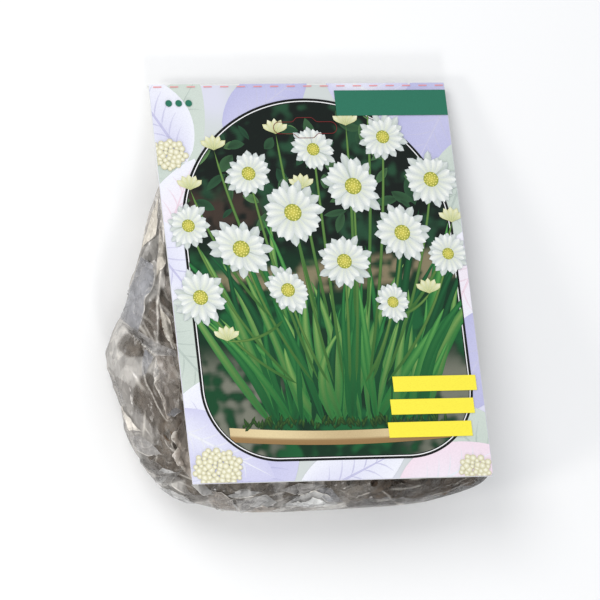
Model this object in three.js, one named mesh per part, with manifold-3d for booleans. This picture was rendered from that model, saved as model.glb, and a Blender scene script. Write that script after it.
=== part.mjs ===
// A bagged perennial: three fleshy rootstocks in a clear film bag, with a picture card folded over the bag's neck.
// The pack lies on its back. Z = 0 is the surface that it rests on, Y runs from the filled end of the bag towards
// the card's crease, and the origin is on the surface below the middle of the card. Millimetres.
import * as THREE from "three";
import { mergeVertices } from "three/addons/utils/BufferGeometryUtils.js";
import Module from "manifold-3d";

const { clamp, lerp, smoothstep, degToRad } = THREE.MathUtils;
const wasm = await Module();
wasm.setup();

// ---- driving dimensions ----
const CLEARANCE = 0.3; // between pieces that touch

const CARD_WIDTH = 150;
const CARD_HEIGHT = 200;
const BOARD = 0.5; // thickness of the card's board
const CARD_TILT = degToRad(15); // the filled end holds the card's lower edge up
const CARD_EDGE_RISE = 60; // front of the card's lower edge above the surface
const FOLD_RADIUS = 1.25; // outside of the crease
const FLAP_LENGTH = 46.5;
const FLAP_INSET = 6; // the flap is this much narrower than the front on each side

const WALL = 0.8; // film, with its crumpling
const BAG_END = -110; // filled end, at the middle of its depth
const NECK_END = 63.5;
const NECK_THICK = 2.4; // gathered film pressed flat between the card and its flap
const NECK_DEPTH = 1.6; // top of the pressed neck below the card's front
const SHOULDER = [20, 50]; // along this stretch the underside rises from the floor to the neck
const TOP_SHOULDER = [30, 46];
const BAG_DEPTH = 0.9; // top of the bag below the card's front
const CORNER_RUN = 60; // length over which the lower corners round in plan
const LEFT_CORNER = 3.3; // superellipse exponents: the right corner is the squarer one
const RIGHT_CORNER = 6;
const END_RUN = 34; // length over which the filled end rounds in depth
const END_ROUND = 2.2;
const SECTION_ROUND = 3;
const FLOOR_SINK = 1.5; // the section is cut off this far up, where the bag lies on its back
const FLOOR_SLOPE = 0.04; // the underside rises at this slope round the flat patch that it rests on
const END_SLANT = 2.5; // the end is this much further out at its left than at its middle
const SLANT_START = 50;

const GLUE_LENGTH = 70;
const GLUE_WIDTH = 8;
const GLUE_THICK = 0.5;
const GLUE_PLACE = 58.5; // middle of the glue strips above the card's centre

const BAG_AROUND = 46; // faces round the section
const BAG_ALONG = 30;
const PLEATS = 14; // round the section
const PLEAT_DEPTH = 2.6;
const CREASES = 18;
const CREASE_SEED = 71;
const CREASE_STEEPNESS = 0.4; // how far the creases' planes lean
const CREASE_PLACES = { x: [-95, 85], y: [-105, 30], z: [5, 50] };
const CREASE_WIDTH = 13;
const CREASE_DEPTH = 2.4;
const FOLD_SHARE = 0.25; // no fold is deeper than this share of half the bag's depth there
const GATHER = [-10, 25]; // the pleats deepen along this stretch
const UNGATHER = [38, 50]; // and are pressed flat along this one
const FLOOR_FADE = [2, 12]; // heights between which folds grow out of the flat underside

const VENT_RADIUS = 2;
const PUNCH_LENGTH = 24;
const VENTS = [
  [18, -98, 51],
  [-42, -62, 48],
  [44, -58, 47],
  [2, -38, 42],
  [-30, -8, 34],
  [34, -6, 34],
];

const CROWN_SIZE = [27, 24, 22];
const CROWN_Y = -6;
const CROWN_SPREAD = 0.86; // how far out in its lane a crown lies
const STUB_LENGTH = [16, 20]; // cut-off shoots
const STUB_RADIUS = 6;
const STUB_SLIM = [0.7, 0.9]; // a shoot's radius at its cut, as a share of that at its foot
const STUB_HEIGHT = 12;
const STUB_LEANS = [-0.3, 0.05, 0.4];
const STUB_SIDES = 8;
const ROOT_RADIUS = [4.8, 6.2];
const ROOT_SIDES = 6;
const ROOT_STEPS = 7;
const CORNER_SLACK = 1; // keeps roots off the rounded rim of the filled end
const FACET_SAG = 0.8; // how far flat faces cut inside the bag's true curve
const ROOT_SLIM = 0.72; // a root's radius at its two ends, as a share of its greatest
const ROOT_START = 12; // height at which the roots leave the crown
const ROOT_SPRING = 0.25; // how far apart they leave it, as a share of their columns
const FAN_SHARE = 0.6; // how far they have fanned out at FAN_Y
const FAN_Y = -20; // where the roots have fanned out
const BEND_Y = -42;
const TIP_REACH = [8, 26]; // how far short of the bag's end a root's tip stays
const TIP_RUN = 24; // last straight stretch before the tip
const TIP_CURL = [4, 18];
const CURL_START = 0.3; // share of the curl that a root has taken just before its tip
const STRAY = 3; // how far a root wanders off its row or column
const ROOT_ROWS = [9, 22, 35]; // heights that the roots spread out to
const ROOT_COLUMNS = [-0.78, -0.26, 0.26, 0.78]; // shares of half a lane
const PLANT_SEEDS = [11, 18, 25];

// Each plant keeps to a lane of the bag.
const LANES = [
  [-98, -34],
  [-33, 25],
  [26, 84],
];
// Roots of the first plant that lie against the bag's left wall.
const WALL_ROOTS = [
  [
    [-56, -8, 12],
    [-68, -20, 18],
    [-87, -36, 17],
    [-86, -52, 19],
    [-74, -69, 23],
    [-62, -84, 26],
  ],
  [
    [-56, -6, 12],
    [-66, -10, 12],
    [-78, -18, 12],
    [-90, -30, 13],
  ],
];

// Corners of the flat patch that the bag rests on.
const FLOOR_CORNERS = [
  [-50, -74],
  [42, -74],
  [0, 22],
];

// Half widths of the bag left and right of the card's centreline, before its lower corners are rounded.
const LEFT_HALF = [
  [BAG_END, 95],
  [-88, 95.5],
  [-60, 100.5],
  [-31, 102.5],
  [5, 89],
  [45, 72],
  [NECK_END, 66],
];
const RIGHT_HALF = [
  [BAG_END, 86],
  [-88, 85],
  [-60, 82.5],
  [-31, 80.5],
  [5, 75],
  [45, 69],
  [NECK_END, 64],
];

// ---- the card's plane ----
const CARD_CENTRE = new THREE.Vector3(
  0,
  0,
  CARD_EDGE_RISE - (CARD_HEIGHT / 2) * Math.sin(CARD_TILT),
);

// Height of the plane that lies a given depth below the card's front, above the surface at y.
function cardPlane(y, depth) {
  return CARD_CENTRE.z - y * Math.tan(CARD_TILT) - depth / Math.cos(CARD_TILT);
}

// ---- helpers ----
function seeded(seed) {
  let state = seed;
  return () => {
    state = (state * 1664525 + 1013904223) % 4294967296;
    return state / 4294967296;
  };
}

// A smooth curve through stops of [place, value], read at a place.
function along(stops, place) {
  let i = 1;
  while (i < stops.length - 1 && place > stops[i][0]) i++;
  const slope = (a, b) =>
    (stops[b][1] - stops[a][1]) / (stops[b][0] - stops[a][0]);
  const run = stops[i][0] - stops[i - 1][0];
  const t = clamp((place - stops[i - 1][0]) / run, 0, 1);
  const first = slope(Math.max(i - 2, 0), i) * run;
  const last = slope(i - 1, Math.min(i + 1, stops.length - 1)) * run;
  const rise = stops[i][1] - stops[i - 1][1];
  return (
    stops[i - 1][1] +
    first * t +
    (3 * rise - 2 * first - last) * t * t +
    (first + last - 2 * rise) * t * t * t
  );
}

// How much of its full size a superellipse keeps at a share of the way to its end.
function rounding(share, power) {
  return Math.pow(1 - Math.pow(clamp(share, 0, 1), power), 1 / power);
}

function signedPower(value, power) {
  return Math.sign(value) * Math.pow(Math.abs(value), power);
}

function solid(geometry) {
  const bare = geometry.clone();
  bare.deleteAttribute("normal");
  bare.deleteAttribute("uv");
  const merged = mergeVertices(bare, 1e-4);
  return new wasm.Manifold(
    new wasm.Mesh({
      numProp: 3,
      vertProperties: merged.attributes.position.array,
      triVerts: new Uint32Array(merged.index.array),
    }),
  );
}

function geometryOf(manifold) {
  const mesh = manifold.getMesh();
  const geometry = new THREE.BufferGeometry();
  geometry.setAttribute(
    "position",
    new THREE.BufferAttribute(mesh.vertProperties, 3),
  );
  geometry.setIndex(new THREE.BufferAttribute(mesh.triVerts, 1));
  geometry.computeVertexNormals();
  return geometry;
}

function piece(name, geometry, material) {
  const mesh = new THREE.Mesh(geometry, material);
  mesh.name = name;
  return mesh;
}

// ---- materials ----
const cardMaterial = new THREE.MeshStandardMaterial({
  color: 0xd7d5eb,
  roughness: 0.35,
});
const filmMaterial = new THREE.MeshStandardMaterial({
  color: 0xc9c5bf,
  roughness: 0.2,
  transparent: true,
  opacity: 0.5,
});
const glueMaterial = new THREE.MeshStandardMaterial({
  color: 0xe6dcc0,
  roughness: 0.5,
});
const rootMaterial = new THREE.MeshStandardMaterial({
  color: 0x5a4a3c,
  roughness: 0.85,
});

// ---- the card ----
// Its section, from the lower edge up the front, round the crease and down the flap.
function cardGeometry() {
  const crease = CARD_HEIGHT / 2 - FOLD_RADIUS;
  const inner = FOLD_RADIUS - BOARD;
  const flapFoot = CARD_HEIGHT / 2 - FLAP_LENGTH;
  const neckTop = NECK_END / Math.cos(CARD_TILT);
  const flapInside =
    NECK_DEPTH + NECK_THICK + 2 * CLEARANCE + GLUE_THICK;
  const section = new THREE.Shape();
  section.moveTo(-CARD_HEIGHT / 2, 0);
  section.lineTo(-CARD_HEIGHT / 2, -BOARD);
  section.lineTo(crease, -BOARD);
  section.absarc(crease, -FOLD_RADIUS, inner, Math.PI / 2, -Math.PI / 2, true);
  section.lineTo(neckTop, -flapInside);
  section.lineTo(flapFoot, -flapInside);
  section.lineTo(flapFoot, -flapInside - BOARD);
  section.lineTo(neckTop, -flapInside - BOARD);
  section.lineTo(crease, -2 * FOLD_RADIUS);
  section.absarc(crease, -FOLD_RADIUS, FOLD_RADIUS, -Math.PI / 2, Math.PI / 2);
  section.closePath();
  const geometry = new THREE.ExtrudeGeometry(section, {
    depth: CARD_WIDTH,
    bevelEnabled: false,
    curveSegments: 6,
  });
  geometry.translate(0, 0, -CARD_WIDTH / 2);
  let sheet = solid(geometry);
  const trimLength = 2 * FLAP_LENGTH;
  const trimDepth = 2 * flapInside;
  for (const side of [-1, 1]) {
    const trim = new THREE.BoxGeometry(trimLength, trimDepth, 2 * FLAP_INSET);
    trim.translate(
      crease - trimLength / 2,
      -BOARD - CLEARANCE - trimDepth / 2,
      (side * CARD_WIDTH) / 2,
    );
    sheet = sheet.subtract(solid(trim));
  }
  const axes = new THREE.Matrix4().makeBasis(
    new THREE.Vector3(0, 1, 0),
    new THREE.Vector3(0, 0, 1),
    new THREE.Vector3(1, 0, 0),
  );
  return geometryOf(sheet).applyMatrix4(axes);
}

// ---- the bag ----
// The bag's section at y, drawn in by an inset: half widths, the middle of its depth and half of that depth.
function bagSection(y, inset) {
  const corner = (BAG_END + CORNER_RUN - y) / (CORNER_RUN - inset);
  const end = (BAG_END + END_RUN - y) / (END_RUN - inset);
  const sunk = smoothstep(y, ...TOP_SHOULDER);
  const top = cardPlane(y, lerp(BAG_DEPTH, NECK_DEPTH, sunk));
  const bottom = lerp(
    -FLOOR_SINK,
    top - NECK_THICK / Math.cos(CARD_TILT),
    smoothstep(y, ...SHOULDER),
  );
  return {
    left: (along(LEFT_HALF, y) - inset) * rounding(corner, LEFT_CORNER),
    right: (along(RIGHT_HALF, y) - inset) * rounding(corner, RIGHT_CORNER),
    middle: (top + bottom) / 2,
    half: (top - bottom) / 2 - inset,
    taper: rounding(end, END_ROUND), // share of that half which is left at y
  };
}

// The sides of the flat patch: the direction straight out of each, and how far that way it lies from the origin.
const floorSides = FLOOR_CORNERS.map(([x, y], i) => {
  const [nextX, nextY] = FLOOR_CORNERS[(i + 1) % FLOOR_CORNERS.length];
  const out = new THREE.Vector2(nextY - y, x - nextX).normalize();
  return { out, reach: out.x * x + out.y * y };
});

// Height of the bag's underside above the surface, at its lowest there.
function floorRise(x, y) {
  return floorSides.reduce(
    (rise, { out, reach }) =>
      Math.max(rise, FLOOR_SLOPE * (out.x * x + out.y * y - reach)),
    0,
  );
}

// Folds that the film holds: pleats that gather it into the neck, and creases across its sides and back.
const random = seeded(CREASE_SEED);
const creases = Array.from({ length: CREASES }, () => {
  const across = new THREE.Vector3(
    lerp(-1, 1, random()),
    lerp(-1, 1, random()),
    lerp(-CREASE_STEEPNESS, CREASE_STEEPNESS, random()),
  ).normalize();
  const through = new THREE.Vector3(
    lerp(...CREASE_PLACES.x, random()),
    lerp(...CREASE_PLACES.y, random()),
    lerp(...CREASE_PLACES.z, random()),
  );
  return { across, place: across.dot(through) };
});

function foldDepth(point, turn) {
  const gathered =
    smoothstep(point.y, ...GATHER) * (1 - smoothstep(point.y, ...UNGATHER));
  const pleat = 0.5 - 0.5 * Math.cos(PLEATS * turn);
  const crumple = creases.reduce(
    (depth, { across, place }) =>
      Math.max(depth, 1 - Math.abs(across.dot(point) - place) / CREASE_WIDTH),
    0,
  );
  const above = smoothstep(point.z, ...FLOOR_FADE);
  const body = 1 - smoothstep(point.y, ...TOP_SHOULDER);
  return above * (PLEAT_DEPTH * pleat * gathered + CREASE_DEPTH * crumple * body);
}

// A point of the bag's surface: turn goes round its section, and share along it from the filled end to the neck.
// Spread is 1 on the section's rim and 0 at its middle, where the bag's two ends close.
function bagPoint(turn, share, spread, inset) {
  const y = lerp(BAG_END + inset, NECK_END - inset, share);
  const { left, right, middle, half, taper } = bagSection(y, inset);
  const sideways = signedPower(spread * Math.cos(turn), 2 / SECTION_ROUND);
  const upwards = signedPower(spread * Math.sin(turn), 2 / SECTION_ROUND);
  const wide = sideways < 0 ? left : right;
  const deep = half * taper;
  const point = new THREE.Vector3(sideways * wide, y, middle + upwards * deep);
  const outwards = new THREE.Vector3(
    signedPower(sideways, SECTION_ROUND - 1) * deep,
    0,
    signedPower(upwards, SECTION_ROUND - 1) * wide,
  ).normalize();
  const fold = Math.min(foldDepth(point, turn), FOLD_SHARE * deep);
  point.addScaledVector(outwards, -fold);
  const slanted = smoothstep(-y, SLANT_START, -BAG_END);
  point.y += END_SLANT * (point.x / LEFT_HALF[0][1]) * slanted;
  point.z = Math.max(point.z, inset);
  return point;
}

function bagShape(inset) {
  const ball = new THREE.SphereGeometry(1, BAG_AROUND, BAG_ALONG);
  const places = ball.attributes.position;
  const firstRing = Math.sin(Math.PI / BAG_ALONG);
  for (let i = 0; i < places.count; i++) {
    const spot = new THREE.Vector3().fromBufferAttribute(places, i);
    const turn = Math.atan2(spot.z, spot.x);
    const spread = Math.min(Math.hypot(spot.x, spot.z) / firstRing, 1);
    const point = bagPoint(turn, (spot.y + 1) / 2, spread, inset);
    places.setXYZ(i, point.x, point.y, point.z);
  }
  const long = Math.hypot(FLOOR_SLOPE, 1);
  return floorSides.reduce(
    (shape, { out, reach }) =>
      shape.trimByPlane(
        [-FLOOR_SLOPE * out.x, -FLOOR_SLOPE * out.y, 1],
        (inset - FLOOR_SLOPE * reach) / long,
      ),
    solid(ball),
  );
}

function bagGeometry() {
  let film = bagShape(0).subtract(bagShape(WALL));
  for (const [x, y, z] of VENTS) {
    const punch = new THREE.CylinderGeometry(
      VENT_RADIUS,
      VENT_RADIUS,
      PUNCH_LENGTH,
      8,
    );
    punch.rotateX(Math.PI / 2);
    punch.translate(x, y, z);
    film = film.subtract(solid(punch));
  }
  return geometryOf(film);
}

// ---- the rootstocks ----
// Draws a point in until a root of the given radius lies clear inside the bag and of the plants beside it.
function keepInside(spot, radius, lane) {
  const clear = radius + WALL + CLEARANCE;
  const gathered = smoothstep(spot.y, ...GATHER);
  const margin = clear + FACET_SAG + CREASE_DEPTH + PLEAT_DEPTH * gathered;
  const x = clamp(spot.x, lane[0] + radius, lane[1] - radius);
  const [outline, power] =
    x < 0 ? [LEFT_HALF, LEFT_CORNER] : [RIGHT_HALF, RIGHT_CORNER];
  const across = Math.abs(x) / (along(outline, BAG_END) - margin);
  const cornerY =
    BAG_END + CORNER_RUN - (CORNER_RUN - margin) * rounding(across, power);
  const y = Math.max(spot.y, cornerY + CORNER_SLACK);
  const { left, right, middle, half, taper } = bagSection(y, margin);
  const centre = (middle + half + clear + floorRise(x, y)) / 2;
  const rise = (middle + half - centre) * taper;
  const reach = Math.pow(
    Math.pow(Math.abs(x) / (x < 0 ? left : right), SECTION_ROUND) +
      Math.pow(Math.abs(spot.z - centre) / rise, SECTION_ROUND),
    1 / SECTION_ROUND,
  );
  const shrink = Math.max(reach, 1);
  return new THREE.Vector3(
    clamp(x / shrink, lane[0] + radius, lane[1] - radius),
    y,
    centre + (spot.z - centre) / shrink,
  );
}

// A capsule bent along a route: slim where it leaves the crown, fleshy in the middle, blunt at its tip.
function rootShape(route, radius, lane) {
  const wish = new THREE.CatmullRomCurve3(
    route.map((spot) => new THREE.Vector3(...spot)),
  );
  const fleshAt = (share) =>
    radius * lerp(ROOT_SLIM, 1, Math.sin(Math.PI * Math.pow(share, 0.8)));
  const kept = wish
    .getSpacedPoints(ROOT_STEPS)
    .map((spot, i) => keepInside(spot, fleshAt(i / ROOT_STEPS), lane));
  const curve = new THREE.CatmullRomCurve3(kept);
  const frames = curve.computeFrenetFrames(ROOT_STEPS);
  const capsule = new THREE.CapsuleGeometry(1, 1, 2, ROOT_SIDES, ROOT_STEPS);
  const places = capsule.attributes.position;
  for (let i = 0; i < places.count; i++) {
    const spot = new THREE.Vector3().fromBufferAttribute(places, i);
    const share = clamp(spot.y + 0.5, 0, 1);
    const step = Math.round(share * ROOT_STEPS);
    const flesh = fleshAt(share);
    const cap = spot.y + 0.5 - share;
    const place = curve
      .getPointAt(share)
      .addScaledVector(frames.tangents[step], cap * flesh)
      .addScaledVector(frames.normals[step], spot.x * flesh)
      .addScaledVector(frames.binormals[step], -spot.z * flesh);
    places.setXYZ(i, place.x, place.y, place.z);
  }
  return capsule;
}

// Routes of a plant's roots: from the crown they fan out to rows and columns, run down the bag, and their tips
// curl sideways against its filled end.
function rootRoutes(lane, draw) {
  const middle = (lane[0] + lane[1]) / 2;
  const crown = CROWN_SPREAD * middle;
  const reach = (lane[1] - lane[0]) / 2;
  const stray = () => lerp(-STRAY, STRAY, draw());
  const routes = [];
  for (const row of ROOT_ROWS) {
    for (const column of ROOT_COLUMNS) {
      const x = middle + column * reach + stray();
      const z = row + stray();
      const tip = BAG_END + lerp(...TIP_REACH, draw() * draw());
      const curl = (draw() < 0.5 ? -1 : 1) * lerp(...TIP_CURL, draw());
      routes.push([
        [crown + ROOT_SPRING * column * reach, CROWN_Y, ROOT_START],
        [lerp(crown, x, FAN_SHARE), FAN_Y, lerp(ROOT_START, z, FAN_SHARE)],
        [x + stray(), BEND_Y + 2 * stray(), z + stray()],
        [x + stray(), tip + TIP_RUN, z + stray()],
        [x + CURL_START * curl, tip + STRAY, z],
        [x + curl, tip, z + STRAY],
      ]);
    }
  }
  return routes;
}

// The crown: a squat lump with the stubs of its cut-off shoots.
function crownShape(middle, draw) {
  const outside = middle + (Math.sign(middle) * CROWN_SIZE[0]) / 2;
  const floor = floorRise(outside, CROWN_Y) + WALL + CLEARANCE;
  const crown = new THREE.SphereGeometry(0.5, 10, 8);
  crown.scale(...CROWN_SIZE);
  crown.translate(middle, CROWN_Y, floor + CROWN_SIZE[2] / 2);
  let lump = solid(crown);
  for (const lean of STUB_LEANS) {
    const stub = new THREE.CylinderGeometry(
      STUB_RADIUS * lerp(...STUB_SLIM, draw()),
      STUB_RADIUS,
      lerp(...STUB_LENGTH, draw()),
      STUB_SIDES,
    );
    stub.translate(0, STUB_LENGTH[1] / 2, 0);
    stub.rotateZ(-lean);
    stub.translate(middle + CROWN_SIZE[0] * lean, CROWN_Y, STUB_HEIGHT);
    lump = lump.add(solid(stub));
  }
  return lump;
}

function rootstockGeometry(lane, seed, extraRoutes) {
  const draw = seeded(seed);
  const middle = (lane[0] + lane[1]) / 2;
  let plant = crownShape(CROWN_SPREAD * middle, draw);
  for (const route of [...rootRoutes(lane, draw), ...extraRoutes]) {
    const radius = lerp(...ROOT_RADIUS, draw());
    plant = plant.add(solid(rootShape(route, radius, lane)));
  }
  // The fused roots can seal small hollows between them: the outer body alone is kept, which fills them.
  const bodies = solid(geometryOf(plant)).decompose();
  return geometryOf(bodies.sort((a, b) => b.volume() - a.volume())[0]);
}

// ---- the glue strips ----
function glueGeometry(depth) {
  const strip = new THREE.BoxGeometry(GLUE_LENGTH, GLUE_WIDTH, GLUE_THICK);
  return strip.translate(0, GLUE_PLACE, -depth - GLUE_THICK / 2);
}

// ---- the pack ----
const pack = new THREE.Group();
const header = new THREE.Group(); // in the card's own plane: X across it, Y up it, Z out of its front
header.position.copy(CARD_CENTRE);
header.rotation.x = -CARD_TILT;
header.add(
  piece("card", cardGeometry(), cardMaterial),
  piece(
    "glue_front",
    glueGeometry(NECK_DEPTH - CLEARANCE - GLUE_THICK),
    glueMaterial,
  ),
  piece(
    "glue_rear",
    glueGeometry(NECK_DEPTH + NECK_THICK + CLEARANCE),
    glueMaterial,
  ),
);
pack.add(header, piece("bag", bagGeometry(), filmMaterial));
LANES.forEach((lane, i) => {
  const extra = i === 0 ? WALL_ROOTS : [];
  pack.add(
    piece(
      `rootstock_${i + 1}`,
      rootstockGeometry(lane, PLANT_SEEDS[i], extra),
      rootMaterial,
    ),
  );
});

export default pack;
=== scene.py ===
# %% [markdown]
# # A bagged perennial
# Three fleshy rootstocks lie in a clear film bag behind a printed picture card. The packed model gives
# every piece its size and place. This file gives them their surfaces: crumpled film, bark, ink and coated
# board. Everything is worked out in millimetres and scaled to metres once, when a piece is finished.

# %% The frame
import math
import random

import bmesh
import bpy
import numpy as np
from mathutils import Matrix, Vector, noise
from mathutils.bvhtree import BVHTree


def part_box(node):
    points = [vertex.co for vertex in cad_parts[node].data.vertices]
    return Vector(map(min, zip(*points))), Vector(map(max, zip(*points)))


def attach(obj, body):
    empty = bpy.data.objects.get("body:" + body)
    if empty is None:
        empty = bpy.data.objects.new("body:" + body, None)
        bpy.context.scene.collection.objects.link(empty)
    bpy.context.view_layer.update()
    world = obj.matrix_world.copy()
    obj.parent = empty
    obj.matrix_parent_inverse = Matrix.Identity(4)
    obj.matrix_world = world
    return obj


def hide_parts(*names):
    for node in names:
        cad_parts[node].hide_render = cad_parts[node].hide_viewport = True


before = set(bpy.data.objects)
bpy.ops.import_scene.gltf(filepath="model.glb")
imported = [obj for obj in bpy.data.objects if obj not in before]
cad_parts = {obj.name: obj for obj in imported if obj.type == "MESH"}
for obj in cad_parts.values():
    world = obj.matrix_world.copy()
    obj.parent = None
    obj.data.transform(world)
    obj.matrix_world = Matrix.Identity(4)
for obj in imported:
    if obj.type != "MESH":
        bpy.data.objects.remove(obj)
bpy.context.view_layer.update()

MM = 0.001

# %% [markdown]
# ## The card's own axes
# The bag's fill holds the card's lower edge up, so the card lies at a slant. Its print is far easier to lay
# out flat: X across the card, Y up it and Z out of its front. One matrix then carries flat work onto the
# card.

# %% Card axes
CARD_WIDTH = 150
CARD_HEIGHT = 200
CARD_TILT = math.radians(15)

card_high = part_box("card")[1]
CARD_CENTRE = Vector((0, 0, card_high.z / MM - CARD_HEIGHT / 2 * math.sin(CARD_TILT)))
ON_CARD = Matrix.Translation(CARD_CENTRE) @ Matrix.Rotation(-CARD_TILT, 4, "X")
print("card centre, mm:", [round(c, 1) for c in CARD_CENTRE])

# %% [markdown]
# ## The camera
# A long lens far away keeps the card's edges nearly parallel. The camera is set out from the card, because
# the card is the flat thing whose corners are easy to line up. It stands a little left of and below the
# card's middle.

# %% Camera
TOWARDS_CAMERA = Vector((-0.3074, -0.293, 0.9053))  # in the card's axes
CAMERA_TOP = Vector((0.017, 0.9496, 0.3131))
CAMERA_DISTANCE = 3000
CARD_OFF_AXIS = (9.8, 9.7)  # the card's centre lies this far right of and above the picture's middle
LENS = 376.5  # focal length and sensor width, as on a camera
SENSOR = 36
PICTURE = 600  # pixels a side
CLIP_NEAR = 0.1  # metres
CLIP_FAR = 20


def added(name, data):
    """A new object with this data, put into the scene."""
    made = bpy.data.objects.new(name, data)
    bpy.context.scene.collection.objects.link(made)
    return made


backward = TOWARDS_CAMERA.normalized()
upward = (CAMERA_TOP - backward * CAMERA_TOP.dot(backward)).normalized()
rightward = upward.cross(backward)
stand = backward * CAMERA_DISTANCE - rightward * CARD_OFF_AXIS[0] - upward * CARD_OFF_AXIS[1]
turned = Matrix((rightward, upward, backward)).transposed().to_4x4()
CAMERA = ON_CARD @ Matrix.Translation(stand) @ turned  # in millimetres

camera = added("camera", bpy.data.cameras.new("camera"))
camera.matrix_world = Matrix.Translation(CAMERA.translation * MM) @ CAMERA.to_3x3().to_4x4()
camera.data.lens = LENS
camera.data.sensor_width = SENSOR
camera.data.clip_start = CLIP_NEAR
camera.data.clip_end = CLIP_FAR
bpy.context.scene.camera = camera
print("camera at, mm:", [round(c) for c in CAMERA.translation])


def sight_line(across, down):
    """Where the camera stands and the way it looks through a point of its picture, in pixels."""
    focal = LENS / SENSOR * PICTURE
    way = Vector(((across - PICTURE / 2) / focal, (PICTURE / 2 - down) / focal, -1))
    return CAMERA.translation, (CAMERA.to_3x3() @ way).normalized()


# %% [markdown]
# ## Helpers for finished pieces
# A bmesh is a mesh under construction. `add_piece` scales it to metres, makes the object, gives it its
# material and lets it ride on the pack's one body, so each piece below ends with the same call.

# %% Adding a piece
def as_mesh(bm, name):
    """The bmesh as an ordinary mesh, which frees the bmesh."""
    mesh = bpy.data.meshes.new(name)
    bm.to_mesh(mesh)
    bm.free()
    return mesh


def add_piece(bm, name, material, smooth=True, replaces=()):
    bmesh.ops.scale(bm, vec=(MM, MM, MM), verts=bm.verts)
    mesh = as_mesh(bm, name)
    for polygon in mesh.polygons:
        polygon.use_smooth = smooth
    made = added(name, mesh)
    mesh.materials.append(material)
    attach(made, "root")
    if replaces:
        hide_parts(*replaces)
    print(name, "faces:", len(mesh.polygons))
    return made


def places(bm):
    return np.array([vert.co for vert in bm.verts])


def move_to(bm, points):
    for vert, point in zip(bm.verts, points):
        vert.co = point


print("solids to dress:", sorted(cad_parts))

# %% [markdown]
# ## Helpers for materials
# Every finish is a Principled shader with a few nodes in front of it. These helpers keep the node code
# short: one adds a node with its settings and links, and one turns a screen's colour into the light that it
# stands for.

# %% Node helpers
def colour(red, green, blue):
    """A linear colour from the three screen values, each 0 to 255."""
    def linear(value):
        value /= 255
        return value / 12.92 if value <= 0.04045 else ((value + 0.055) / 1.055) ** 2.4
    return (linear(red), linear(green), linear(blue), 1)


print("a screen's middle grey is this much light:", round(colour(128, 128, 128)[0], 2))

# %% Finishes
class Finish:
    """A material with one Principled shader, and short calls that add nodes in front of it."""

    def __init__(self, name, **sockets):
        self.material = bpy.data.materials.new(name)
        self.material.use_nodes = True
        self.tree = self.material.node_tree
        self.shader = self.tree.nodes["Principled BSDF"]
        for socket, value in sockets.items():
            self.shader.inputs[socket.replace("_", " ")].default_value = value
        self.place = self.add("TexCoord").outputs["Object"]

    def add(self, kind, inputs=(), **settings):
        node = self.tree.nodes.new("ShaderNode" + kind)
        for name, value in settings.items():
            setattr(node, name, value)
        for socket, value in dict(inputs).items():
            self.feed(node.inputs[socket], value)
        return node

    def feed(self, socket, value):
        if isinstance(value, bpy.types.NodeSocket):
            self.tree.links.new(value, socket)
        else:
            socket.default_value = value

    def give(self, socket, value):
        self.feed(self.shader.inputs[socket], value)

    def attribute(self, name, output="Fac"):
        return self.add("Attribute", attribute_name=name).outputs[output]

    def noise(self, size, detail=4, roughness=0.5, distortion=0):
        """Cloudy noise whose blotches are about size millimetres across."""
        inputs = {"Vector": self.place, "Scale": 1 / (size * MM), "Detail": detail}
        inputs.update({"Roughness": roughness, "Distortion": distortion})
        return self.add("TexNoise", inputs).outputs["Fac"]

    def facets(self, size, turn, stretch):
        """Long flat facets, each tilted its own way: their height in metres, and a value for each that paints
        it lighter or darker.
        """
        turned = self.add("Mapping", {"Vector": self.place, "Rotation": turn, "Scale": (1, 1 / stretch, 1)})
        place = turned.outputs[0]
        cell = self.add("TexVoronoi", {"Vector": place, "Scale": 1 / (size * MM)})
        tilt = self.vectors("SUBTRACT", cell.outputs["Color"], (0.5, 0.5, 0.5))[0]
        away = self.vectors("SUBTRACT", place, cell.outputs["Position"])[0]
        height = self.vectors("DOT_PRODUCT", away, tilt)["Value"]
        return height, self.add("SeparateXYZ", {0: cell.outputs["Color"]}).outputs["X"]

    def map(self, value, low, high, to_low=0, to_high=1):
        inputs = {"Value": value, "From Min": low, "From Max": high, "To Min": to_low, "To Max": to_high}
        return self.add("MapRange", inputs).outputs["Result"]

    def blend(self, share, first, second):
        node = self.add("Mix", data_type="RGBA")
        self.feed(node.inputs[0], share)
        self.feed(node.inputs[6], first)
        self.feed(node.inputs[7], second)
        return node.outputs[2]

    def math(self, operation, first, second=0.0):
        return self.add("Math", {0: first, 1: second}, operation=operation).outputs[0]

    def vectors(self, operation, first, second):
        return self.add("VectorMath", {0: first, 1: second}, operation=operation).outputs

    def bump(self, height, depth, normal=None):
        """Relief whose full height is depth millimetres, on top of the relief that normal already has."""
        inputs = {"Height": height, "Distance": depth * MM}
        if normal:
            inputs["Normal"] = normal
        return self.add("Bump", inputs).outputs["Normal"]

    def done(self):
        print("finish:", self.material.name, "nodes:", len(self.tree.nodes))
        return self.material


print("calls of a finish:", [name for name in vars(Finish) if name[0] != "_"])

# %% [markdown]
# ## The bag's loft
# The bag is one tube of film: flat where it lies, full where the roots are, gathered at the card and
# pressed flat inside the fold. Its section is a superellipse whose width and depth change along its length.
# The same formula shapes the solid model, so the film made from it lies where the solid is.

# %% Steps and curves
def ease(value, low, high):
    """0 below low, 1 above high and a smooth step between them."""
    share = np.clip((value - low) / (high - low), 0, 1)
    return share * share * (3 - 2 * share)


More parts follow.
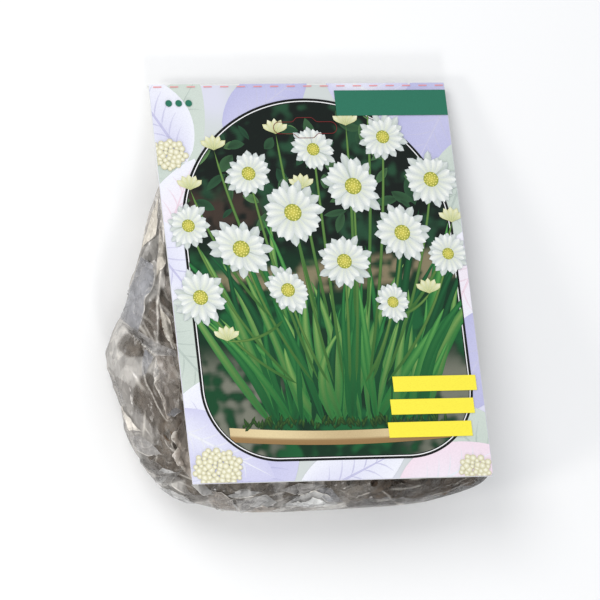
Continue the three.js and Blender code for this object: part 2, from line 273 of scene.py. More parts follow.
def along(stops, place):
    """A smooth curve through stops of (place, value), read at each place."""
    spots, values = np.array(stops, float).T
    slopes = np.concatenate([
        [(values[1] - values[0]) / (spots[1] - spots[0])],
        (values[2:] - values[:-2]) / (spots[2:] - spots[:-2]),
        [(values[-1] - values[-2]) / (spots[-1] - spots[-2])],
    ])
    i = np.clip(np.searchsorted(spots, place), 1, len(spots) - 1)
    run = spots[i] - spots[i - 1]
    rise = values[i] - values[i - 1]
    first = slopes[i - 1] * run
    last = slopes[i] * run
    t = np.clip((place - spots[i - 1]) / run, 0, 1)
    square = 3 * rise - 2 * first - last
    cube = first + last - 2 * rise
    return values[i - 1] + first * t + square * t**2 + cube * t**3


def rounding(share, power):
    return (1 - np.clip(share, 0, 1) ** power) ** (1 / power)


def signed_power(value, power):
    return np.sign(value) * np.abs(value) ** power


print("a quarter of the way through a step:", ease(0.25, 0, 1))

# %% The bag's outline
BAG_END = -110  # Y of the filled end
NECK_END = 63.5  # Y of the gathered end
LEFT_HALF = [(BAG_END, 95), (-88, 95.5), (-60, 100.5), (-31, 102.5), (5, 89), (45, 72), (NECK_END, 66)]
RIGHT_HALF = [(BAG_END, 86), (-88, 85), (-60, 82.5), (-31, 80.5), (5, 75), (45, 69), (NECK_END, 64)]
CORNER_RUN = 60  # the two corners of the filled end are rounded over this length
LEFT_CORNER = 3.3  # a larger number makes a squarer corner
RIGHT_CORNER = 6
NECK_THICK = 2.4
NECK_DEPTH = 1.6  # how deep under the card's front the neck lies
BAG_DEPTH = 0.9  # and how deep the filled part lies
FLOOR_SLOPE = 0.04
FLOOR_CORNERS = [(-50, -74), (42, -74), (0, 22)]  # the flat patch on which the pack rests


def card_plane(y, depth):
    """Height at y of the plane that lies a given depth below the card's front."""
    return CARD_CENTRE.z - y * math.tan(CARD_TILT) - depth / math.cos(CARD_TILT)


def floor_rise(x, y):
    """Lowest height of the bag's underside, which rises gently round a flat three-cornered patch."""
    rise = np.zeros_like(x)
    for (x0, y0), (x1, y1) in zip(FLOOR_CORNERS, FLOOR_CORNERS[1:] + FLOOR_CORNERS[:1]):
        long = math.hypot(x1 - x0, y1 - y0)
        beyond = ((y1 - y0) * (x - x0) - (x1 - x0) * (y - y0)) / long
        rise = np.maximum(rise, FLOOR_SLOPE * beyond)
    return rise


widest = [max(half for y, half in side) for side in (LEFT_HALF, RIGHT_HALF)]
print("bag, mm:", NECK_END - BAG_END, "long,", sum(widest), "wide")

# %% Loft
SHOULDER = (20, 50)  # between these places the underside rises to the neck
TOP_SHOULDER = (30, 46)  # and the top sinks to it
END_RUN = 34  # the filled end is rounded over this length
END_ROUND = 2.2
SECTION_ROUND = 3  # 2 makes an oval section, and more a squarer one
FLOOR_SINK = 1.5


def loft(turn, share, spread):
    """Points of the bag's surface, the way out of it at each, and half the bag's depth there."""
    y = BAG_END + (NECK_END - BAG_END) * share
    top = card_plane(y, BAG_DEPTH + (NECK_DEPTH - BAG_DEPTH) * ease(y, *TOP_SHOULDER))
    neck_bottom = top - NECK_THICK / math.cos(CARD_TILT)
    bottom = -FLOOR_SINK + (neck_bottom + FLOOR_SINK) * ease(y, *SHOULDER)
    corner = (BAG_END + CORNER_RUN - y) / CORNER_RUN
    left = along(LEFT_HALF, y) * rounding(corner, LEFT_CORNER)
    right = along(RIGHT_HALF, y) * rounding(corner, RIGHT_CORNER)
    deep = (top - bottom) / 2 * rounding((BAG_END + END_RUN - y) / END_RUN, END_ROUND)
    sideways = signed_power(spread * np.cos(turn), 2 / SECTION_ROUND)
    upwards = signed_power(spread * np.sin(turn), 2 / SECTION_ROUND)
    wide = np.where(sideways < 0, left, right)
    points = np.stack([sideways * wide, y, (top + bottom) / 2 + upwards * deep], axis=1)
    power = SECTION_ROUND - 1
    out = np.stack([signed_power(sideways, power) * deep, 0 * y, signed_power(upwards, power) * wide], axis=1)
    out /= np.maximum(np.linalg.norm(out, axis=1, keepdims=True), 1e-9)
    return points, out, deep


half_way = loft(np.zeros(1), np.full(1, 0.5), np.ones(1))
print("half way along its right side, mm:", half_way[0].round(1).tolist())

# %% [markdown]
# ## Rootstocks
# Each plant is a knot of fleshy roots under a short crown with the stubs of its cut shoots. The solid model
# has them as smooth six-sided roots. A voxel remesh fuses a copy into one skin, a smoothing rounds it, and
# then the skin is moved by formula: rings run round each root, since every root leads away from its crown,
# and finer noise gives the wrinkled bark.

# %% Rootstocks
CROWNS = {"rootstock_1": -57, "rootstock_2": -3, "rootstock_3": 47}  # each crown's X
CROWN_Y = -6
CROWN_HEIGHT = 14
RING_SPACING = 4.2
RING_DEPTH = 0.3
RING_SWAY = 3  # lumps push the rings aside by up to about this much
RING_FULL = 0.6  # below 1, rings are full and the grooves between them narrow
RING_SHARE = 0.6  # how much of their depth the rings have where there is no lump
BARK_LUMP = 7
BARK_LUMP_DEPTH = 0.5
BARK_GRAIN = 1.6
BARK_GRAIN_DEPTH = 0.22
BARK_SET = 0.4  # how far lumps and grain are set into the root
ROOT_VOXEL = 1.0
ROOT_SMOOTHING = 6
WELD = 1e-7  # metres


def bark_height(spot, crown):
    """How far the bark stands out at a spot: rings round the roots, lumps and grain."""
    lump = noise.noise(spot / BARK_LUMP)
    away = (spot - crown).length + RING_SWAY * lump
    ring = abs(math.sin(math.pi * away / RING_SPACING)) ** RING_FULL
    grain = noise.noise(spot / BARK_GRAIN)
    rings = RING_DEPTH * (ring - 1) * (RING_SHARE + lump)
    return rings + BARK_LUMP_DEPTH * (lump - BARK_SET) + BARK_GRAIN_DEPTH * (grain - BARK_SET)


def rooted(node, crown_x, material):
    bm = bmesh.new()
    bm.from_mesh(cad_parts[node].data)
    bmesh.ops.remove_doubles(bm, verts=bm.verts, dist=WELD)
    blank = added("blank", as_mesh(bm, "blank"))
    remesh = blank.modifiers.new("skin", "REMESH")
    remesh.mode = "VOXEL"
    remesh.voxel_size = ROOT_VOXEL * MM
    rounded = blank.modifiers.new("rounded", "SMOOTH")
    rounded.iterations = ROOT_SMOOTHING
    skin = bpy.data.meshes.new_from_object(blank.evaluated_get(bpy.context.evaluated_depsgraph_get()))
    bpy.data.objects.remove(blank)
    bm = bmesh.new()
    bm.from_mesh(skin)
    bmesh.ops.scale(bm, vec=(1 / MM, 1 / MM, 1 / MM), verts=bm.verts)
    bm.normal_update()
    crown = Vector((crown_x, CROWN_Y, CROWN_HEIGHT))
    tones = bm.verts.layers.float.new("tone")
    for vert in bm.verts:
        height = bark_height(vert.co, crown)
        vert[tones] = height
        vert.co += vert.normal * height
    return add_piece(bm, node.replace("rootstock", "roots"), material, replaces=[node])


print("crowns, mm:", [(crown_x, CROWN_Y, CROWN_HEIGHT) for crown_x in CROWNS.values()])

# %% [markdown]
# Root bark is dull and dark, browner on the ridges and nearly black in the grooves. The colour follows the
# same relief that moved the skin, through the `tone` attribute, so grooves stay dark from every side. That
# darkness in the grooves is the bark's own dark colour with painted shade on top.

# %% Bark finish
def bark_finish():
    bark = Finish("root bark", Roughness=0.8)
    relief = bark.map(bark.attribute("tone"), -0.5, 0.15)
    mottle = bark.noise(3.5, detail=6, roughness=0.65)
    # the grooves' colour: the bark's own dark brown, darkened further with painted shade
    groove_shade = bark.blend(mottle, colour(34, 26, 21), colour(74, 58, 46))
    pale = bark.blend(mottle, colour(92, 74, 58), colour(134, 112, 88))
    bark.give("Base Color", bark.blend(relief, groove_shade, pale))
    bark.give("Normal", bark.bump(bark.noise(0.9, detail=5, roughness=0.7), 0.35))
    return bark.done()


bark_material = bark_finish()
roots = [rooted(node, crown_x, bark_material) for node, crown_x in CROWNS.items()]

# %% [markdown]
# ## The film, laid over what it holds
# Film has three kinds of shape at once. It hangs into the hollows between the roots. It breaks into flat
# facets with straight creases between them. And it is pinched here and there into narrow ridges. Facets
# come from folding space: the points are mirrored in one random plane after another, and a zigzag wave over
# the folded points is then flat everywhere but at the creases.

# %% What the film holds
def tree_of(objects):
    """A search tree over the faces of several objects, in millimetres."""
    points, faces = [], []
    for made in objects:
        first = len(points)
        points += [vert.co / MM for vert in made.data.vertices]
        faces += [[first + i for i in polygon.vertices] for polygon in made.data.polygons]
    return BVHTree.FromPolygons(points, faces)


root_tree = tree_of(roots)
print("faces under the film:", sum(len(made.data.polygons) for made in roots))

# %% Folding space
SWAY = 3  # creases bend by about this much
SWAY_SPAN = 40
MIRRORS_WITHIN = 40  # the mirrors pass this near the bag's middle


def unit(draw):
    """A random way in space, one unit long."""
    way = np.array([draw.gauss(0, 1) for _ in range(3)])
    return way / np.linalg.norm(way)


def swayed(points, draw):
    """The points, pushed about by slow waves, so that long creases aren't dead straight."""
    moved = points.copy()
    for axis in range(3):
        way = unit(draw) * 2 * math.pi / SWAY_SPAN
        moved[:, axis] += SWAY * np.sin(points @ way + draw.uniform(0, 6))
    return moved


def folded_wave(points, length, foldings, draw):
    """A wave that counts up through folded space: its whole steps are length millimetres long."""
    folded = swayed(points, draw)
    for _ in range(foldings):
        across = unit(draw)
        beyond = folded @ across - draw.uniform(-MIRRORS_WITHIN, MIRRORS_WITHIN)
        folded -= 2 * np.minimum(beyond, 0)[:, None] * across
    return folded @ unit(draw) / length


samples = np.array([(x, y, 0.0) for x in (-50, 50) for y in (-50, 50)])
print("a wave at four points:", folded_wave(samples, 20, 6, random.Random(1)).round(2).tolist())

# %% Crumpling
FACETS = [(34, 3.4, 6), (15, 1.7, 7), (7, 0.6, 8)]  # wave length, depth, number of foldings
CREASE_REACH = 0.9
CREASE_SHINE = 0.6
CREASE_PATCH = 17  # creases are painted white, as painted highlights, in patches of about this size
PATCH_EDGE = (0.1, 1.1)
CLOUD_WAVES = 5


def clouds(points, span, draw):
    """Soft blotches between about -1 and 1, some span millimetres across."""
    def wave():
        return np.sin(points @ unit(draw) * 2 * math.pi / span + draw.uniform(0, 6))
    return sum(wave() for _ in range(CLOUD_WAVES)) / (CLOUD_WAVES / 2)


def crumpled(points, draw):
    """How far each point stands out, and how strongly a painted highlight whitens it along the creases."""
    height = np.zeros(len(points))
    crease = np.zeros(len(points))
    for length, depth, foldings in FACETS:
        wave = folded_wave(points, length, foldings, draw)
        zigzag = np.abs(2 * (wave - np.floor(wave + 0.5)))
        height += depth * (zigzag - 0.5)
        near = np.minimum(zigzag, 1 - zigzag) * length / 2
        patch = ease(clouds(points, CREASE_PATCH, draw), *PATCH_EDGE)
        crease = np.maximum(crease, CREASE_SHINE * patch * np.clip(1 - near / CREASE_REACH, 0, 1))
    return height, crease


print("facets, mm:", [length for length, depth, foldings in FACETS])

# %% Plies
PLIES = [(19, 7, 0.6), (9, 8, 0.4)]  # wave length, number of foldings and weight
PLY_LENGTH = 0.7  # the second wave of each pair, as a share of the first
PLY_EDGE = (0.15, 0.85)


def scattered(first, second):
    """A number from 0 to 1 for each pair of whole numbers, the same one whenever the pair comes back."""
    mess = np.sin(first * 12.9898 + second * 78.233) * 43758.5453
    return mess - np.floor(mess)


def plies(points, draw):
    """Where folded film lies on film: 0 for one ply, 1 for several, in patches with straight edges."""
    doubled = np.zeros(len(points))
    for length, foldings, weight in PLIES:
        first = np.floor(folded_wave(points, length, foldings, draw))
        second = np.floor(folded_wave(points, PLY_LENGTH * length, foldings, draw))
        doubled += weight * scattered(first, second)
    return ease(doubled, *PLY_EDGE)


print("plies at four points:", plies(samples, random.Random(1)).round(2).tolist())

# %% [markdown]
# ### The shell
# A ball with many faces is the start: its poles become the bag's two ends. Rings and columns are spaced so
# that the faces are small where the film is seen close up and large under the bag. Then one array holds all
# the points, and each step of the shaping is a line or two.

# %% Columns
TURN_STEPS = 4000
SECTION_HALF = (LEFT_HALF[0][1], 24)  # half the width and half the depth of a usual section
LEFT_FINE = 2.5  # columns are this much closer on the bag's open left side
LEFT_SIDE = -60  # which is left of this X
UNDER_COARSE = 0.5


def even_turns(turn):
    """Turns round the tube, spread so that columns are evenly spaced or closer where the film shows most."""
    fine = np.linspace(-math.pi, math.pi, TURN_STEPS + 1)
    x = SECTION_HALF[0] * signed_power(np.cos(fine), 2 / SECTION_ROUND)
    z = signed_power(np.sin(fine), 2 / SECTION_ROUND)
    step = np.hypot(np.diff(x), SECTION_HALF[1] * np.diff(z))
    step *= np.where(z[1:] < 0, UNDER_COARSE, np.where(x[1:] < LEFT_SIDE, LEFT_FINE, 1))
    length = np.concatenate([[0], np.cumsum(step)])
    return np.interp((turn + math.pi) / (2 * math.pi), length / length[-1], fine)


quarters = np.linspace(-math.pi, math.pi, 5)
print("quarter turns after spacing, degrees:", np.degrees(even_turns(quarters)).round().tolist())

# %% Hanging film
REACH = 14  # how far in the film looks for a root
COVERED = 78  # the card keeps the film down within this distance of its middle line


def neighbours(bm):
    return np.array([[edge.verts[0].index, edge.verts[1].index] for edge in bm.edges])


def smoothed(values, edges, times):
    """Each value drawn towards the mean of its neighbours' values, again and again."""
    a, b = edges.T
    count = np.bincount(a, minlength=len(values)) + np.bincount(b, minlength=len(values))
    for _ in range(times):
        total = np.bincount(a, values[b], len(values)) + np.bincount(b, values[a], len(values))
        values = 0.5 * values + 0.5 * total / count
    return values


def free_depth(points, out):
    """How far each point can sink before it meets a root: straight in, and any way at all."""
    depths = []
    for point, way in zip(points, out):
        start = Vector(point)
        hit = root_tree.ray_cast(start, -Vector(way), REACH)
        near = root_tree.find_nearest(start, REACH)
        depths.append((hit[3] if hit[0] else REACH, near[3] if near[0] else REACH))
    return np.array(depths).T


def kept_in(points):
    """The points, kept above the floor and below the card's back."""
    points = points.copy()
    points[:, 2] = np.maximum(points[:, 2], floor_rise(points[:, 0], points[:, 1]))
    ceiling = card_plane(points[:, 1], BAG_DEPTH)
    covered = (np.abs(points[:, 0]) < COVERED) & (points[:, 1] > -CARD_HEIGHT / 2)
    points[:, 2] = np.where(covered, np.minimum(points[:, 2], ceiling), points[:, 2])
    return points


over_crowns = [(crown_x, CROWN_Y, card_plane(CROWN_Y, BAG_DEPTH)) for crown_x in CROWNS.values()]
upright = [(0, 0, 1)] * len(over_crowns)
print("free depth over the crowns, mm:", free_depth(over_crowns, upright)[0].round(1).tolist())

# %% Shell
FILM_SEED = 5
FILM_AROUND = 330
FILM_ALONG = 290
END_FINE = 1.3  # rings are closer at the bag's front end
HANG = 0.5  # share of the free depth that the film hangs into
HANG_MOST = 3.5
HANG_SMOOTHING = 30
FILM_CLEAR = 0.5  # how far the film stays off the roots
PLEATS = 14
PLEAT_DEPTH = 2.4
GATHER = (-10, 25)  # the pleats grow between these places
UNGATHER = (38, 50)  # and fade between these
FLOOR_FADE = (1, 9)  # the film is flat below the first height and fully crumpled above the second
FOLD_SHARE = 0.25  # no crumple is deeper than this share of the bag's half depth
END_SLANT = 2.5  # how far the filled end slants from one side to the other
SLANT_START = 50
PULLS = [  # where the film is drawn out, over what span and how far
    ((-104, -40), 50, (-1.2, 0)),  # the left side
    ((80, -102), 11, (4.4, 0.4)),  # a flat ear at the right front corner
    ((70, -108), 14, (0, 2.4)),  # and the straight run that leads to it
    ((-76, 36), 14, (-4, 0)),  # the left shoulder, which shows beside the card
]


def film_shell():
    bm = bmesh.new()
    bmesh.ops.create_uvsphere(bm, u_segments=FILM_AROUND, v_segments=FILM_ALONG, radius=1)
    bm.verts.index_update()
    ball = places(bm)
    turn = even_turns(np.arctan2(-ball[:, 1], ball[:, 0]))
    first_ring = math.sin(math.pi / FILM_ALONG)
    spread = np.minimum(np.hypot(ball[:, 0], ball[:, 1]) / first_ring, 1)
    share = np.clip((ball[:, 2] + 1) / 2, 0, 1) ** END_FINE
    points, out, deep = loft(turn, share, spread)

    draw = random.Random(FILM_SEED)
    height, crease = crumpled(points, draw)
    ply = plies(points, draw)
    straight, nearest = free_depth(points, out)
    hang = smoothed(np.minimum(HANG * straight, HANG_MOST), neighbours(bm), HANG_SMOOTHING)
    y = points[:, 1]
    body = 1 - ease(y, *TOP_SHOULDER)
    gathered = ease(y, *GATHER) * (1 - ease(y, *UNGATHER))
    above = ease(points[:, 2], *FLOOR_FADE)
    pleat = PLEAT_DEPTH * (0.5 - 0.5 * np.cos(PLEATS * turn)) * gathered
    sink = above * ((hang - height) * body + pleat)
    sink = np.minimum(sink, np.maximum(nearest - FILM_CLEAR, 0))
    sink = np.minimum(sink, FOLD_SHARE * deep)
    points -= out * sink[:, None]
    points[:, 1] += END_SLANT * points[:, 0] / LEFT_HALF[0][1] * ease(-y, SLANT_START, -BAG_END)
    for spot, span, pull in PULLS:
        near = np.exp(-((points[:, :2] - spot) ** 2).sum(axis=1) / (2 * span**2))
        points[:, :2] += near[:, None] * pull
    return bm, kept_in(points), crease * above, ply


shell, shell_points, shell_crease, shell_ply = film_shell()
print("film points:", len(shell_points))

# %% [markdown]
# ### Ridges
# Where film is caught between finger and thumb it keeps a narrow ridge. These are drawn as lines in the
# camera's picture and carried onto the film along the lines of sight, so each one sits exactly on the film
# under it. The film then rises to a sharp edge within a few millimetres of the line.

# %% Lines laid on the film
LINE_STEP = 1.5  # picture pixels between the points that are carried over


def walked(line, step):
    """Points every step along a line through the given corners, straight from one to the next."""
    corners = np.array(line, float)
    run = np.concatenate([[0], np.cumsum(np.linalg.norm(np.diff(corners, axis=0), axis=1))])
    at = np.linspace(0, run[-1], max(int(run[-1] / step), 2) + 1)
    return np.stack([np.interp(at, run, corners[:, axis]) for axis in (0, 1)], axis=1)


def laid(tree, spots):
    """Where the lines of sight through picture spots meet the film, and the way out of it there."""
    hits = []
    for across, down in spots:
        stand_point, way = sight_line(across, down)
        hit = tree.ray_cast(stand_point, way)
        hits.append((hit[0], -hit[1] if hit[1].dot(way) > 0 else hit[1]) if hit[0] else None)
    return hits


print("spots on a line 60 pixels long:", len(walked([(0, 0), (60, 0)], LINE_STEP)))

# %% Ridges
RIDGES = [  # height, half width and painted highlight, then the line in picture coordinates
    (1.7, 2.6, 1.0,
     [(160, 192), (163, 218), (164, 244), (161, 262), (160, 281), (157, 298), (158, 330), (157, 358)]),
    (1.3, 2.0, 1.0, [(157, 352), (156, 375), (158, 391), (165, 401), (164, 414)]),
    (1.2, 2.0, 1.0, [(157, 296), (162, 311), (167, 328), (170, 341), (175, 354)]),
    (1.0, 1.8, 0.7, [(119, 324), (138, 342), (155, 355), (176, 357)]),
    (0.7, 1.4, 0.6, [(138, 257), (147, 264), (155, 270)]),
    (0.6, 1.2, 0.6, [(127, 297), (138, 293), (150, 292)]),
    (1.2, 1.8, 0.8, [(147, 350), (142, 366), (146, 384), (158, 406), (167, 421), (178, 419)]),
    (1.0, 1.8, 1.0, [(119, 403), (124, 414), (129, 426), (128, 433), (142, 433)]),
    (0.9, 1.6, 0.6, [(131, 441), (144, 444), (160, 454), (170, 455)]),
    (0.9, 1.6, 0.7, [(140, 462), (152, 466), (168, 474)]),
    (0.8, 1.6, 0.6, [(150, 480), (165, 472), (186, 468)]),
    (1.0, 1.8, 0.8, [(182, 420), (175, 432), (172, 444), (179, 462), (189, 478)]),
    (0.8, 1.4, 0.7, [(160, 430), (168, 446), (181, 456)]),
    (1.0, 1.4, 1.0, [(224, 499), (243, 497), (261, 494)]),
    (0.8, 1.2, 0.8, [(231, 492), (240, 491), (250, 490)]),
    (0.9, 1.4, 0.9, [(280, 489), (300, 487), (321, 484)]),
    (0.9, 1.4, 0.3, [(276, 501), (284, 498), (292, 495)]),
    (0.8, 1.4, 0.6, [(335, 488), (350, 494), (366, 502)]),
    (0.7, 1.0, 1.0, [(363, 485), (368, 484), (372, 481)]),
    (0.6, 1.0, 0.8, [(366, 480), (369, 484), (370, 490)]),
    (0.7, 1.2, 0.5, [(388, 489), (400, 483), (414, 486)]),
    (0.7, 1.2, 0.7, [(440, 487), (452, 484), (466, 482)]),
    (1.0, 1.5, 0.9, [(170, 484), (183, 492), (196, 503)]),
    (0.7, 1.2, 0.8, [(157, 472), (167, 474), (178, 473)]),
    (0.6, 1.0, 0.5, [(282, 503), (295, 494), (310, 488)]),
    (0.6, 1.0, 0.5, [(291, 504), (304, 496), (318, 489)]),
    (0.7, 1.2, 0.8, [(151, 204), (148, 222), (143, 240)]),
]
RIDGE_TAPER = 4  # a ridge rises over the first quarter of its line and sinks over the last
RIDGE_SHARP = 1.5
RIDGE_SHINE = (3, 1.9)  # how narrow the painted highlight along its crest is


def raise_ridges(points, crease, faces):
    tree = BVHTree.FromPolygons([Vector(point) for point in points], faces)
    rise = np.zeros_like(points)
    shine = crease.copy()
    for height, half, gloss, line in RIDGES:
        hits = [hit for hit in laid(tree, walked(line, LINE_STEP)) if hit]
        if not hits:
            continue
        spots = np.array([hit[0] for hit in hits])
        outs = np.array([hit[1] for hit in hits])
        low = spots.min(axis=0) - half
        high = spots.max(axis=0) + half
        some = np.flatnonzero(np.all((points > low) & (points < high), axis=1))
        gaps = np.linalg.norm(points[some, None] - spots[None], axis=2)
        nearest = gaps.argmin(axis=1)
        share = np.clip(1 - gaps.min(axis=1) / half, 0, 1)
        taper = np.minimum(1, RIDGE_TAPER * np.minimum(nearest + 1, len(spots) - nearest) / len(spots))
        lift = height * share**RIDGE_SHARP * taper
        rise[some] += outs[nearest] * lift[:, None]
        # the ridge's crest is painted white: a painted highlight
        edge = np.clip(RIDGE_SHINE[0] * share - RIDGE_SHINE[1], 0, 1)
        shine[some] = np.maximum(shine[some], gloss * taper * edge)
    return points + rise, shine


shell_faces = [[vert.index for vert in face.verts] for face in shell.faces]
shell_points, shell_crease = raise_ridges(shell_points, shell_crease, shell_faces)
shell_points = kept_in(shell_points)
film_tree = BVHTree.FromPolygons([Vector(point) for point in shell_points], shell_faces)
print("ridges:", len(RIDGES), "points with a bright crease:", int((shell_crease > 0.5).sum()))

# %% [markdown]
# Small holes let the plants breathe. Faces inside each circle are deleted, and the ragged rim that is left
# is drawn onto the circle.

# %% Air holes
VENT_RADIUS = 2
VENT_DEPTH = 15
VENTS = [(18, -98, 51), (-42, -62, 48), (44, -58, 47), (2, -38, 42), (-30, -8, 34), (34, -6, 34)]


def in_vent(face, vent):
    middle = face.calc_center_median()
    return middle.z > vent[2] - VENT_DEPTH and (middle.xy - Vector(vent[:2])).length < VENT_RADIUS


def punch_vents(bm):
    for vent in VENTS:
        bmesh.ops.delete(bm, geom=[face for face in bm.faces if in_vent(face, vent)], context="FACES")
    for vert in bm.verts:
        if vert.is_boundary:
            nearest = min(VENTS, key=lambda vent: (Vector(vent[:2]) - vert.co.xy).length)
            centre = Vector(nearest[:2])
            vert.co.xy = centre + (vert.co.xy - centre).normalized() * VENT_RADIUS


print("air holes:", len(VENTS), "each", 2 * VENT_RADIUS, "mm wide")

# %% [markdown]
# ### Root ends
# Here and there a root presses against the film and shows as a dark round end. Each of these is a ball
# drawn out along a line in the picture, just as a ridge is. It lies under the film by its own radius and
# has the same bark as the rest.

# %% Root ends
ROOT_ENDS = [  # radius, crown it grows from, then the line in picture coordinates
    (5.6, -57, [(154, 330), (141, 341), (125, 352)]),
    (6.4, -57, [(182, 444), (170, 431), (153, 409), (142, 391), (137, 380)]),
    (5.2, -57, [(192, 462), (172, 464), (156, 462), (141, 456)]),
    (5.8, -57, [(212, 474), (202, 488), (190, 500)]),
    (6.2, -57, [(238, 474), (231, 492), (224, 508)]),
    (5.2, -57, [(178, 378), (170, 345), (166, 318), (163, 286)]),
    (4.6, -57, [(186, 446), (178, 412), (171, 380)]),
    (5.0, -3, [(262, 474), (263, 490), (268, 507)]),
    (4.6, -3, [(300, 474), (296, 486), (293, 500)]),
    (5.6, -3, [(330, 470), (334, 484), (339, 502)]),
    (6.6, -3, [(350, 468), (356, 484), (362, 505)]),
    (7.0, 47, [(370, 466), (376, 482), (382, 506)]),
    (6.8, 47, [(388, 466), (394, 480), (401, 504)]),
    (7.0, 47, [(406, 466), (413, 479), (421, 501)]),
    (6.8, 47, [(424, 464), (432, 477), (440, 498)]),
    (6.6, 47, [(441, 462), (450, 475), (459, 494)]),
    (6.2, 47, [(458, 460), (467, 472), (477, 489)]),
    (4.6, 47, [(354, 503), (380, 500), (410, 497), (440, 492), (468, 485)]),
]
END_CLEAR = 0.5
END_SIDES = 30
END_RINGS = 48
END_BLUNT = 5  # a larger number makes blunter ends
END_SWELL = 0.1  # how much a root's thickness varies
END_SMOOTHING = 8
INWARD = (0, 0.15, 0.3, 0.5, 0.7, 0.9, 1)  # shares of the way inwards that are tried in turn


def laid_inward(spot, middle):
    """Carry a picture spot onto the film, or the nearest spot towards the middle that meets it."""
    for share in INWARD:
        hit = laid(film_tree, [np.array(spot) * (1 - share) + middle * share])[0]
        if hit:
            return hit
    raise ValueError(f"no film at {spot}")


def smooth_line(points):
    for _ in range(END_SMOOTHING):
        points[1:-1] = (points[:-2] + 2 * points[1:-1] + points[2:]) / 4
    return points


def root_end(bm, tones, radius, crown_x, line):
    spots = walked(line, LINE_STEP)
    hits = [laid_inward(spot, spots.mean(axis=0)) for spot in spots]
    axis = smooth_line(np.array([hit[0] - hit[1] * (radius + END_CLEAR) for hit in hits]))
    crown = Vector((crown_x, CROWN_Y, CROWN_HEIGHT))
    made = bmesh.ops.create_uvsphere(bm, u_segments=END_SIDES, v_segments=END_RINGS, radius=1)["verts"]
    for vert in made:
        t = (1 - vert.co.z) / 2
        at = t * (len(axis) - 1)
        i = min(int(at), len(axis) - 2)
        middle = Vector(axis[i]).lerp(Vector(axis[i + 1]), at - i)
        run = Vector(axis[i + 1] - axis[i]).normalized()
        side = run.orthogonal().normalized()
        way = side * vert.co.x + run.cross(side) * vert.co.y
        way = way.normalized() if way.length > 1e-6 else Vector()
        round_end = (1 - abs(2 * t - 1) ** END_BLUNT) ** 0.5
        swell = radius * round_end * (1 + END_SWELL * math.sin(5 * t + crown_x))
        spot = middle + way * swell
        height = bark_height(spot, crown)
        vert[tones] = height
        vert.co = spot + way * height * round_end


ends = bmesh.new()
tones = ends.verts.layers.float.new("tone")
for radius, crown_x, line in ROOT_ENDS:
    root_end(ends, tones, radius, crown_x, line)
bmesh.ops.recalc_face_normals(ends, faces=ends.faces)
ends = add_piece(ends, "root_ends", bark_material)

# %% [markdown]
# ## Film finish
# Clear film is never quite clear once it is crumpled. Where it touches a root it lets the dark bark show,
# and there its colour is also painted darker: painted shade. Where it stands off, haze and folds hide what
# is under it and it looks pale grey. So each point of the film has a colour for its haze, which also carries
# the painted light and shade, and a `cover`, the share of light that doesn't pass, both from its distance
# to the roots and the number of plies. At the right of its front end the colour is painted darker: painted
# shade. Towards the neck nothing lies under it, and the colour is painted paler there: painted light. A
# third attribute paints the film white along creases and fold edges: painted highlights. The shader adds
# gloss, and flat facets that are too small for the mesh, each one painted a little lighter or darker:
# painted shading.

# %% Clear film
# white painted into creases and fold edges as painted highlights, and into fine scratches as wear
GLINT_AND_SCRATCH_WHITE = colour(240, 234, 224)
SCRATCH_WHITE = 0.12
CLOUD_COVER = 0.07
CREASE_COVER = 0.4
COVER_MOST = 0.96
FINE_FACETS = [  # width, stretch and turn, then how steep they are and how much each facet's tint is painted lighter or darker as painted shading
    (8, 2.2, (0.3, 0.2, 0.9), 0.7, 0.16),
    (4, 1.8, (0.1, 0.5, -0.6), 0.6, 0.12),
    (2, 2.5, (0.6, -0.3, 0.2), 0.5, 0.12),
]


def film_finish():
    film = Finish("clear film", Roughness=0.22)
    film.give("Specular IOR Level", 0.7)
    crease = film.map(film.attribute("crease"), 0.1, 0.9)
    cloud = film.map(film.noise(15, detail=3), 0.35, 0.65)
    scratch = film.map(film.noise(0.8, detail=3, roughness=0.7), 0.62, 0.75)
    # creases and fold edges are painted white as painted highlights, and fine scratches whiten it as wear
    glint_and_scratch = film.math("MAXIMUM", crease, film.math("MULTIPLY", scratch, SCRATCH_WHITE))
    cover = film.math("ADD", film.attribute("cover"), film.math("MULTIPLY", cloud, CLOUD_COVER))
    creased = film.math("ADD", cover, film.math("MULTIPLY", glint_and_scratch, CREASE_COVER))
    film.give("Alpha", film.math("MINIMUM", creased, COVER_MOST))
    wrinkles = film.bump(film.noise(3.2, detail=2, distortion=0.8), 0.1)
    tint = film.attribute("haze_and_painted_light", "Color")
    for size, stretch, turn, steepness, variety in FINE_FACETS:
        height, shade = film.facets(size, turn, stretch)
        wrinkles = film.bump(height, steepness / MM, normal=wrinkles)
        # each facet's tint is painted lighter or darker: painted shading
        facet_shading = film.map(shade, 0, 1, 1 - variety, 1 + variety)
        tint = film.vectors("MULTIPLY", tint, facet_shading)[0]
    film.give("Base Color", film.blend(glint_and_scratch, tint, GLINT_AND_SCRATCH_WHITE))
    film.give("Normal", wrinkles)
    return film.done()


film_material = film_finish()

# %% Haze and cover
TOUCH = (1.5, 2.5)  # a root nearer than the first shows fully, and beyond the second not at all
END_TOUCH = (2.6, 3.8)  # the same for the root ends
ROOTS_SHOW = 0.7
COVER_TOUCHING = 0.42
COVER_CLEAR_OF = 0.74
PLY_COVER = 0.2
# the film's colour where it touches a root, painted darker: painted shade over the dark bark
HAZE_SHADED_ON_ROOTS = np.array(colour(138, 131, 122))
HAZE_THIN = np.array(colour(158, 153, 147))
HAZE_THICK = np.array(colour(190, 186, 180))
RIGHT_SHADE_X = (6, 24)  # between these, towards the right, the film's colour on the bag's end is painted darker: painted shade
RIGHT_SHADE_Y = (-98, -76)  # and between these, away from that end, the painted shade fades out
